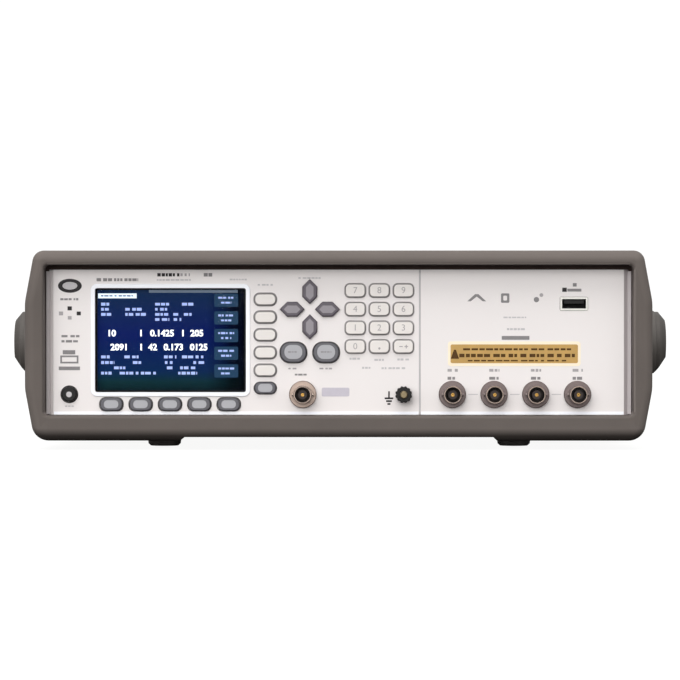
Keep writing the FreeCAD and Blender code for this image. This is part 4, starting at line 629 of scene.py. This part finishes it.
def panel_prints():
    """What is printed on the panel: small bars for words, a plain oval badge and plain marks.

    Places are in millimetres from the meter's middle plane and from the bench.
    """
    dark = Plates("prints_dark", PANEL_Y)
    grey = Plates("prints_grey", PANEL_Y)
    middle = Plates("prints_middle", PANEL_Y)
    pale = Plates("prints_pale", PANEL_Y)
    lilac = Plates("prints_lilac", PANEL_Y)

    # The left strip, from the badge down to the ring round the power button.
    power = centre("power_button")
    strip = power.x
    badge = (strip + 0.3 * MM, 86.5 * MM)
    dark.ring(ellipse(*badge, 6.3 * MM, 3.7 * MM), ellipse(*badge, 3.9 * MM, 2.0 * MM))
    pale.solid(ellipse(*badge, 3.8 * MM, 1.9 * MM))
    words(grey, strip, 79.4 * MM, 9.5 * MM, 1.2 * MM, "maker")
    dark.bar(strip + 0.2 * MM, 74.6 * MM, 2.3 * MM, 2.1 * MM)
    dark.bar(strip + 5.0 * MM, 71.9 * MM, 2.2 * MM, 2.0 * MM)
    middle.bar(strip - 4.4 * MM, 71.9 * MM, 2.2 * MM, 2.0 * MM)
    middle.bar(strip + 0.2 * MM, 69.6 * MM, 2.0 * MM, 1.8 * MM)
    for z in (59.9, 57.2):
        words(grey, strip + 0.6 * MM, z * MM, 9.5 * MM, 1.3 * MM, f"side{z}", 2.2 * MM)
    grey.bar(strip - 0.2 * MM, 51.4 * MM, 6.6 * MM, 2.2 * MM)
    outside, inside = (rectangle(strip, 47.6 * MM, w * MM, h * MM) for w, h in ((9.6, 4.2), (7.8, 2.4)))
    grey.ring(outside, inside)
    grey.bar(strip, 42.9 * MM, 11.2 * MM, 1.9 * MM)
    outside, inside = (ellipse(strip, power.z, radius, radius) for radius in (4.7 * MM, 4.12 * MM))
    dark.ring(outside, inside)
    words(pale, strip, 22.9 * MM, 4.6 * MM, 0.8 * MM, "power")

    # Lines above the screen and the keys, those below the keypad and the oval keys, and a lilac patch.
    for x, z, width, height, ink, seed in (
        (-116.8, 89.7, 22.0, 1.7, grey, "title"),
        (-89.7, 92.3, 12.0, 1.9, dark, "range"),
        (-81.0, 92.3, 5.0, 1.6, middle, "range3"),
        (-87.0, 89.6, 18.0, 1.0, pale, "range2"),
        (-68.6, 92.3, 5.2, 1.9, grey, "model"),
        (-53.0, 89.8, 9.0, 0.9, pale, "right"),
        (-38.7, 87.0, 8.0, 0.9, pale, "soft"),
        (-15.2, 90.6, 12.0, 0.9, pale, "arrows"),
    ):
        words(ink, x * MM, z * MM, width * MM, height * MM, seed)
    for x, z, width in (
        (8.8, 48.0, 6.0),
        (34.3, 47.6, 6.5),
        (21.4, 47.4, 5.0),
        (14.6, 43.2, 4.4),
        (28.9, 43.0, 12.5),
    ):
        words(pale, x * MM, z * MM, width * MM, 1.1 * MM, f"pad{x}")
    words(middle, -24.0 * MM, 42.8 * MM, 5.0 * MM, 0.9 * MM, "preset")
    words(middle, -6.6 * MM, 42.8 * MM, 7.0 * MM, 0.9 * MM, "trigger")
    words(grey, -19.6 * MM, 39.6 * MM, 7.0 * MM, 1.0 * MM, "bias")
    lilac.solid(pill(-1.6 * MM, 30.4 * MM, 14.6 * MM, 4.6 * MM, 0.8 * MM))

    # The earth mark beside the earth terminal.
    x, z = 26.6 * MM, 24.9 * MM
    dark.bar(x, z + 4.2 * MM, 0.8 * MM, 3.4 * MM)
    for k, width in enumerate((4.6, 3.0, 1.6)):
        dark.bar(x, z + (2.2 - 1.5 * k) * MM, width * MM, 0.9 * MM)

    # Three plain status marks.
    chevron = [(-5.0, -1.8), (-3.2, -1.8), (0.0, 0.7), (3.2, -1.8), (5.0, -1.8), (0.9, 2.0), (-0.9, 2.0)]
    grey.solid([((72.9 + a) * MM, (80.1 + b) * MM) for a, b in chevron])
    sizes = ((4.4, 5.0), (2.0, 2.6))
    outside, inside = (pill(87.9 * MM, 80.0 * MM, w * MM, h * MM, 0.6 * MM) for w, h in sizes)
    grey.ring(outside, inside)
    grey.solid(ellipse(104.4 * MM, 79.2 * MM, 1.4 * MM, 1.4 * MM, 20))
    middle.solid(ellipse(107.0 * MM, 81.6 * MM, 1.0 * MM, 1.0 * MM, 20))

    # Marks over the USB socket, above the amber label, and over and between the test sockets.
    dark.bar(119.2 * MM, 84.4 * MM, 2.4 * MM, 2.2 * MM)
    grey.bar(124.4 * MM, 84.2 * MM, 7.4 * MM, 1.5 * MM)
    grey.bar(124.6 * MM, 87.0 * MM, 2.0 * MM, 1.8 * MM)
    words(pale, 93.0 * MM, 69.8 * MM, 12.0 * MM, 0.8 * MM, "middle")
    words(pale, 93.6 * MM, 63.6 * MM, 9.5 * MM, 1.2 * MM, "terminals2")
    grey.bar(93.4 * MM, 59.0 * MM, 14.6 * MM, 2.0 * MM)
    for k, x in enumerate(TEST_X):
        words(middle, x + 0.2 * MM, 41.9 * MM, 5.4 * MM, 1.6 * MM, f"top{k}", 2.2 * MM)
        words(grey, x, 37.7 * MM, 5.0 * MM, 1.6 * MM, f"low{k}", 2.2 * MM)
    for left, right in zip(TEST_X, TEST_X[1:]):
        pale.bar((left + right) / 2, TERMINAL_ROW, 5.0 * MM, 0.4 * MM)

    dark.done("cabinet", INK_AND_SHADE_DARK, "black_plastic")
    grey.done("cabinet", INK_AND_SHADE_GREY, "key_grey")
    middle.done("cabinet", INK_AND_SHADE_MID, "key_grey")
    pale.done("cabinet", PALE_INK_AND_LIGHT, "key_light")
    lilac.done("cabinet", INK_LILAC, "key_light")

    # A painted highlight: a bright line along the panel's foot, on each side of the seam.
    low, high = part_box("terminal_panel")
    edge = Plates("panel_foot_highlight", PANEL_Y, rise=0.12 * MM)
    inset = 2.6 * MM
    for first, last in ((inset - high.x, low.x - 1.2 * MM), (low.x + 0.1 * MM, high.x - inset)):
        edge.bar((first + last) / 2, low.z + 0.9 * MM, last - first, 1.6 * MM)
    edge.done("cabinet", BEAD_AND_HIGHLIGHT, "panel_white")


def amber_label():
    """The amber strip above the test terminals, with plain bars in place of its wording."""
    x, z = 92.7 * MM, 50.6 * MM
    raised = 0.18 * MM
    edge = Plates("amber_border", PANEL_Y, rise=0.1 * MM)
    edge.solid(pill(x, z, 70.0 * MM, 13.0 * MM, 1.6 * MM))
    edge.done("cabinet", AMBER_EDGE, "panel_white")
    face = Plates("amber_label", PANEL_Y, rise=raised)
    face.solid(pill(x, z, 67.2 * MM, 9.9 * MM, 0.9 * MM))
    face.done("cabinet", AMBER, "connector_metal")
    ink = Plates("amber_marks", PANEL_Y - raised)
    for row, (level, width, tall) in enumerate(((53.0, 57, 1.1), (49.7, 61, 1.9), (47.0, 52, 0.8))):
        words(ink, x + 1.5 * MM, level * MM, width * MM, tall * MM, f"amber{row}", 2.4 * MM)
    wedge = ((-2.2, -1.9), (2.2, -1.9), (0.5, 2.9), (-0.5, 2.9))
    ink.solid([((61.4 + a) * MM, (49.9 + b) * MM) for a, b in wedge])
    ink.done("cabinet", AMBER_INK, "black_plastic")


# ---------------------------------------------------------------------------------------------------
# Screen
# ---------------------------------------------------------------------------------------------------


def screen_material(name, colour, glow):
    """A glowing, unpolished material for one layer of the screen's picture."""
    return material(name, colour, 0.6, vary=0.04, mottle=60, bump=0.001, specular=0.0, glow=glow)


def backlight():
    """The lit cell: navy, a little paler at the top, green-black along the bottom, dark at the right."""
    made = bpy.data.materials.new("screen_backlight")
    made.use_nodes = True
    nodes, links = made.node_tree.nodes, made.node_tree.links
    shader = nodes["Principled BSDF"]
    shader.inputs["Specular IOR Level"].default_value = 0.0
    shader.inputs["Roughness"].default_value = 0.7
    where = nodes.new("ShaderNodeTexCoord")
    parts = nodes.new("ShaderNodeSeparateXYZ")
    links.new(where.outputs["Object"], parts.inputs["Vector"])

    def ramp(axis, low, high, stops):
        """A colour by place along an axis. The first two stops are the ends."""
        spread = nodes.new("ShaderNodeMapRange")
        spread.inputs["From Min"].default_value = low
        spread.inputs["From Max"].default_value = high
        links.new(parts.outputs[axis], spread.inputs["Value"])
        item = nodes.new("ShaderNodeValToRGB")
        links.new(spread.outputs["Result"], item.inputs["Fac"])
        elements = item.color_ramp.elements
        for element, (place, colour) in zip(elements, stops):
            element.position, element.color = place, linear(colour)
        for place, colour in stops[2:]:
            elements.new(place).color = linear(colour)
        return item.outputs["Color"]

    up = ramp(
        "Z",
        SCREEN_LOW.z,
        SCREEN_HIGH.z,
        [
            (0.0, (8, 24, 28)),
            (1.0, (14, 38, 68)),
            (0.1, (13, 42, 46)),
            (0.2, (11, 36, 72)),
            (0.55, (8, 23, 82)),
        ],
    )
    across = ramp(
        "X",
        SCREEN_LOW.x,
        SCREEN_HIGH.x,
        [
            (0.0, (200, 210, 235)),
            (1.0, (26, 30, 36)),
            (0.06, (255, 255, 255)),
            (0.74, (235, 240, 250)),
            (0.9, (90, 110, 110)),
        ],
    )
    mix = nodes.new("ShaderNodeMix")
    mix.data_type, mix.blend_type = "RGBA", "MULTIPLY"
    mix.inputs[0].default_value = 1.0
    links.new(up, mix.inputs[6])
    links.new(across, mix.inputs[7])
    links.new(mix.outputs[2], shader.inputs["Base Color"])
    links.new(mix.outputs[2], shader.inputs["Emission Color"])
    shader.inputs["Emission Strength"].default_value = 0.75
    return made


def screen():
    """The picture on the display, in the module's recess behind the window. All numbers are made up.

    Places on it are in millimetres from its lower left corner.
    """
    recess = 0.95 * MM
    floor_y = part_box("lcd_module")[0].y + recess
    cell_rise, thin = 0.05 * MM, 0.02 * MM
    left, low = SCREEN_LOW.x, SCREEN_LOW.z
    spot, whole = centre("lcd_window"), size("lcd_window")
    cell = Plates("screen_cell", floor_y, rise=cell_rise, sunk=thin)
    cell.bar(spot.x, spot.z, whole.x - 2.0 * MM, whole.z - 2.0 * MM)
    cell.done("cabinet", backlight(), "display_glass")

    def level(k):
        """Where layer k of the picture lies: 0 on the lit cell, 1 on the plates of layer 0."""
        return floor_y - cell_rise - k * thin

    def layer(name, k):
        return Plates(name, level(k), rise=thin, sunk=thin)

    def done(plates, colour, glow):
        plates.done("cabinet", screen_material(plates.name, colour, glow), "display_glass")

    menu = layer("screen_menu", 0)
    menu_x = left + 69.1 * MM
    for node in SOFT_KEYS[:5]:
        menu.solid(pill(menu_x, centre(node).z - 0.4 * MM, 12.6 * MM, 7.0 * MM, 0.8 * MM))
    done(menu, (36, 62, 88), 0.6)
    title = layer("screen_title", 0)
    title.bar(left + 11.5 * MM, low + 50.8 * MM, 20.4 * MM, 2.6 * MM)
    done(title, (226, 240, 250), 0.9)
    band = layer("screen_band", 0)
    band.bar(left + 51.7 * MM, low + 53.2 * MM, 47.0 * MM, 1.5 * MM)
    done(band, (106, 120, 136), 0.6)

    soft = layer("screen_text", 1)
    ink = layer("screen_title_text", 1)
    words(ink, left + 11.3 * MM, low + 50.8 * MM, 17.0 * MM, 0.7 * MM, "heading")
    # Lines of small text: the height of each, then the start and length of its stretches.
    lines = (
        (46.4, (2.9, 5.5), (31.5, 7.5), (45.7, 6.0)),
        (43.7, (2.9, 4.0), (15.7, 10.0), (31.5, 7.5)),
        (41.0, (2.9, 5.5), (15.7, 11.0), (31.5, 7.5), (41.1, 3.0), (46.7, 5.0)),
        (38.3, (31.5, 7.5), (41.3, 4.0)),
        (18.5, (2.9, 4.5), (15.2, 7.5), (36.2, 6.5), (45.7, 12.0)),
        (15.5, (2.9, 7.0), (19.7, 5.0), (36.7, 4.0), (51.7, 6.0)),
        (12.7, (9.7, 6.0), (37.7, 3.0), (44.7, 8.0)),
        (9.9, (2.9, 5.5), (12.7, 20.0), (43.7, 10.0)),
    )
    for z, *spans in lines:
        for x, width in spans:
            seed = f"screen{z}{x}"
            words(soft, left + (x + width / 2) * MM, low + z * MM, width * MM, 1.6 * MM, seed, 1.9 * MM)
    for node in SOFT_KEYS[:5]:
        z = centre(node).z - 0.4 * MM
        words(soft, menu_x, z + 1.3 * MM, 8.4 * MM, 1.1 * MM, f"menu{node}")
        words(soft, menu_x, z - 1.3 * MM, 5.4 * MM, 1.1 * MM, f"menu2{node}")
    done(soft, (152, 170, 222), 0.95)
    done(ink, (90, 110, 150), 0.4)

    # The two readouts: the height of each, then its numerals with the middle of each.
    rows = (
        (30.9, ("10", 8.4), ("1", 24.0), ("0.1425", 35.2), ("1", 46.2), ("205", 53.6)),
        (23.5, ("2091", 12.5), ("1", 24.1), ("42", 30.2), ("0.173", 41.2), ("0125", 54.6)),
    )
    entries = [(text, left + x * MM, low + z * MM, 3.4 * MM) for z, *cells in rows for text, x in cells]
    bright = screen_material("screen_bright", (248, 252, 255), 1.5)
    bold = 0.13 * MM
    lettering("screen_readouts", entries, level(1), "cabinet", bright, thin, thin, bold)


# ---------------------------------------------------------------------------------------------------
# Handle
# ---------------------------------------------------------------------------------------------------


def ribbed_grip():
    """A soft sleeve with moulded ribs, in the place of the plain one."""
    low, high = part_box("handle_grip")
    middle, half = (low + high) / 2, (high - low) / 2
    corner, round_end = 5.0 * MM, 6 * MM
    end_depth, groove_depth = 0.09, 0.054  # as parts of the sleeve's size
    steps = 4 * 26  # two on each rib's top and two in its groove
    outline = pill(0, 0, 2 * half.y, 2 * half.z, corner, 5)
    made = bmesh.new()
    loops = []
    for k in range(steps + 1):
        t = half.x * (2 * k / steps - 1)
        from_end = half.x - abs(t)
        if from_end < round_end:
            fall = 1 - math.sqrt(max(0.0, 1 - (1 - from_end / round_end) ** 2))
            scale = 1 - end_depth * fall
        else:
            scale = 1.0 if k % 4 in (0, 1) else 1 - groove_depth
        places = [(middle.x + t, middle.y + a * scale, middle.z + b * scale) for a, b in outline]
        loops.append([made.verts.new(place) for place in places])
    count = len(outline)
    for a, b in zip(loops, loops[1:]):
        for k in range(count):
            n = (k + 1) % count
            made.faces.new((a[k], a[n], b[n], b[k]))
    made.faces.new(loops[0][::-1])
    made.faces.new(loops[-1])
    bmesh.ops.recalc_face_normals(made, faces=made.faces)
    data = bpy.data.meshes.new("grip_sleeve")
    made.to_mesh(data)
    made.free()
    piece = finish_piece("grip_sleeve", data, "handle", GRIP, smooth=True)
    data.set_sharp_from_angle(angle=math.radians(40))
    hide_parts("handle_grip")


def arm_ribs():
    """Three long raised ribs on the outer face of each arm, which stiffen the moulding."""
    low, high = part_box("carry_handle")
    eye_proud = 3.0 * MM  # how far the arms' eyes, over the hubs, stand out past the arms
    start, end, ramp = 14 * MM, 140 * MM, 3 * MM
    thick, sunk, half = 0.7 * MM, 0.2 * MM, 1.3 * MM
    profile = [(0.0, half), (thick, half * 0.55), (thick, -half * 0.55), (0.0, -half)]
    stations = ((start, 0.15), (start + ramp, 1.0), (end - ramp, 1.0), (end, 0.15))
    for name, side in (("right", 1), ("left", -1)):
        made = bmesh.new()
        skin = side * (high.x - eye_proud)
        for z in (-6.5, 0.0, 6.5):
            middle = (low.z + high.z) / 2 + z * MM
            rows = []
            for y, scale in stations:
                places = [(skin + side * (a * scale - sunk), y, middle + b) for a, b in profile]
                rows.append([made.verts.new(place) for place in places])
            for a, b in zip(rows, rows[1:]):
                for k in range(4):
                    n = (k + 1) % 4
                    made.faces.new((a[k], a[n], b[n], b[k]))
            made.faces.new(rows[0])
            made.faces.new(rows[-1])
        bmesh.ops.remove_doubles(made, verts=made.verts, dist=1e-6)
        bmesh.ops.recalc_face_normals(made, faces=made.faces)
        data = bpy.data.meshes.new(f"arm_ribs_{name}")
        made.to_mesh(data)
        made.free()
        finish_piece(f"arm_ribs_{name}", data, "handle", HANDLE)


# ---------------------------------------------------------------------------------------------------
# Rear
# ---------------------------------------------------------------------------------------------------


def rear_prints():
    """Plain bars beside the rear sockets, and a rating plate with plain bars for its wording."""
    grey = Plates("rear_prints", REAR_Y, rear=True)
    for x, z, width, seed in (
        (40, 85.5, 30, "bus"),
        (92, 83.0, 12, "net"),
        (114, 83.0, 10, "usb"),
        (136, 84.5, 12, "trig"),
        (-120, 64.0, 30, "mains"),
        (-120, 61.4, 22, "mains2"),
    ):
        words(grey, x * MM, z * MM, width * MM, 1.2 * MM, f"rear{seed}", 2 * MM)
    grey.done("cabinet", INK_AND_SHADE_GREY, "key_grey")
    plate_rise = 0.15 * MM
    plate = Plates("rating_plate", REAR_Y, rise=plate_rise, rear=True)
    plate.solid(pill(-119 * MM, 78 * MM, 44 * MM, 18 * MM, 1.2 * MM))
    plate.done("cabinet", PALE_INK_AND_LIGHT, "screen_can")
    lines = Plates("rating_plate_lines", REAR_Y + plate_rise, rear=True)
    for k in range(4):
        x, width = (-121, 34) if k % 2 == 0 else (-123, 29)
        words(lines, x * MM, (83.4 - 3.4 * k) * MM, width * MM, 1.1 * MM, f"plate{k}", 2 * MM)
    lines.done("cabinet", INK_AND_SHADE_DARK, "black_plastic")


def network_lamps():
    """Two lamp lenses in the top corners of the network jack's face."""
    jack_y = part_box("rear_panel")[0].y
    for name, x, look in (("left", 86.0, LENS_AMBER), ("right", 98.0, LENS_GREEN)):
        lens = Plates(f"network_lamp_{name}", jack_y, rise=0.3 * MM, sunk=0.2 * MM, rear=True)
        lens.solid(pill(x * MM, 77.0 * MM, 2.2 * MM, 1.5 * MM, 0.4 * MM))
        lens.done("cabinet", look, "circuit_board")


# ---------------------------------------------------------------------------------------------------
# Stage
# ---------------------------------------------------------------------------------------------------

PAPER_TONE, PAPER_GLOW = 0.12, 0.93  # the floor's own colour, and the light that only the camera sees
SURROUND_LIGHT, BACKDROP_LIGHT = 0.82, 1.05  # all round the object, and as the camera sees it
# Each sun: name, strength, then spread, tilt from straight down and turn to one side, in degrees.
SUNS = (("overhead", 1.5, 50, 22, -12), ("front", 1.95, 44, 78, -14))
VIEW_DISTANCE = 1690 * MM  # from the camera to the bumper's face
FOCAL_LENGTH = 170.7  # of a 36 mm wide sensor, in millimetres


def floor_material():
    """White paper that looks evenly lit in the picture and throws little light back on the object."""
    made = bpy.data.materials.new("floor_paper")
    made.use_nodes = True
    nodes, links = made.node_tree.nodes, made.node_tree.links
    paper = nodes["Principled BSDF"]
    paper.inputs["Base Color"].default_value = (PAPER_TONE, PAPER_TONE, PAPER_TONE, 1.0)
    paper.inputs["Roughness"].default_value = 0.9
    paper.inputs["Specular IOR Level"].default_value = 0.0
    bright = nodes.new("ShaderNodeEmission")
    bright.inputs["Color"].default_value = (1.0, 1.0, 0.995, 1.0)
    bright.inputs["Strength"].default_value = PAPER_GLOW
    both = nodes.new("ShaderNodeAddShader")
    links.new(bright.outputs["Emission"], both.inputs[0])
    links.new(paper.outputs["BSDF"], both.inputs[1])
    path = nodes.new("ShaderNodeLightPath")
    choose = nodes.new("ShaderNodeMixShader")
    links.new(path.outputs["Is Camera Ray"], choose.inputs["Fac"])
    links.new(paper.outputs["BSDF"], choose.inputs[1])
    links.new(both.outputs["Shader"], choose.inputs[2])
    links.new(choose.outputs["Shader"], nodes["Material Output"].inputs["Surface"])
    return made


def stage():
    """A pale floor, soft light from above and all round, and a long lens straight in front."""
    data = bpy.data.meshes.new("floor")
    reach = 40.0
    corners = [(-reach, -reach, 0), (reach, -reach, 0), (reach, reach, 0), (-reach, reach, 0)]
    data.from_pydata(corners, [], [(0, 1, 2, 3)])
    floor = bpy.data.objects.new("floor", data)
    bpy.context.scene.collection.objects.link(floor)
    data.materials.append(floor_material())

    world = bpy.data.worlds.new("studio")
    bpy.context.scene.world = world
    world.use_nodes = True
    nodes, links = world.node_tree.nodes, world.node_tree.links
    surround = nodes["Background"]
    surround.inputs["Color"].default_value = (1.0, 1.0, 0.995, 1.0)
    surround.inputs["Strength"].default_value = SURROUND_LIGHT
    seen = nodes.new("ShaderNodeBackground")
    seen.inputs["Color"].default_value = (1.0, 1.0, 0.998, 1.0)
    seen.inputs["Strength"].default_value = BACKDROP_LIGHT
    path = nodes.new("ShaderNodeLightPath")
    choose = nodes.new("ShaderNodeMixShader")
    links.new(path.outputs["Is Camera Ray"], choose.inputs["Fac"])
    links.new(surround.outputs["Background"], choose.inputs[1])
    links.new(seen.outputs["Background"], choose.inputs[2])
    links.new(choose.outputs["Shader"], nodes["World Output"].inputs["Surface"])

    for name, energy, spread, tilt, side in SUNS:
        lamp = bpy.data.lights.new(name, "SUN")
        lamp.energy = energy
        lamp.angle = math.radians(spread)
        lamp.color = (1.0, 0.99, 0.98)
        sun = bpy.data.objects.new(name, lamp)
        sun.rotation_euler = (math.radians(tilt), 0, math.radians(side))
        bpy.context.scene.collection.objects.link(sun)

    lens = bpy.data.cameras.new("camera")
    lens.sensor_width = 36
    lens.lens = FOCAL_LENGTH
    lens.clip_start, lens.clip_end = 0.05, 100
    camera = bpy.data.objects.new("camera", lens)
    bpy.context.scene.collection.objects.link(camera)
    bpy.context.scene.camera = camera
    camera.location = (9 * MM, BUMPER_FRONT - VIEW_DISTANCE, 75 * MM)
    target = Vector((0.8 * MM, BUMPER_FRONT, 58.0 * MM))
    camera.rotation_mode = "QUATERNION"
    camera.rotation_quaternion = (target - camera.location).to_track_quat("-Z", "Y")
    bpy.context.scene.view_settings.view_transform = "Standard"
    bpy.context.scene.view_settings.look = "None"


paint_nodes()
gasket()
key_outlines()
key_glyphs()
panel_prints()
amber_label()
screen()
ribbed_grip()
arm_ribs()
rear_prints()
network_lamps()
stage()
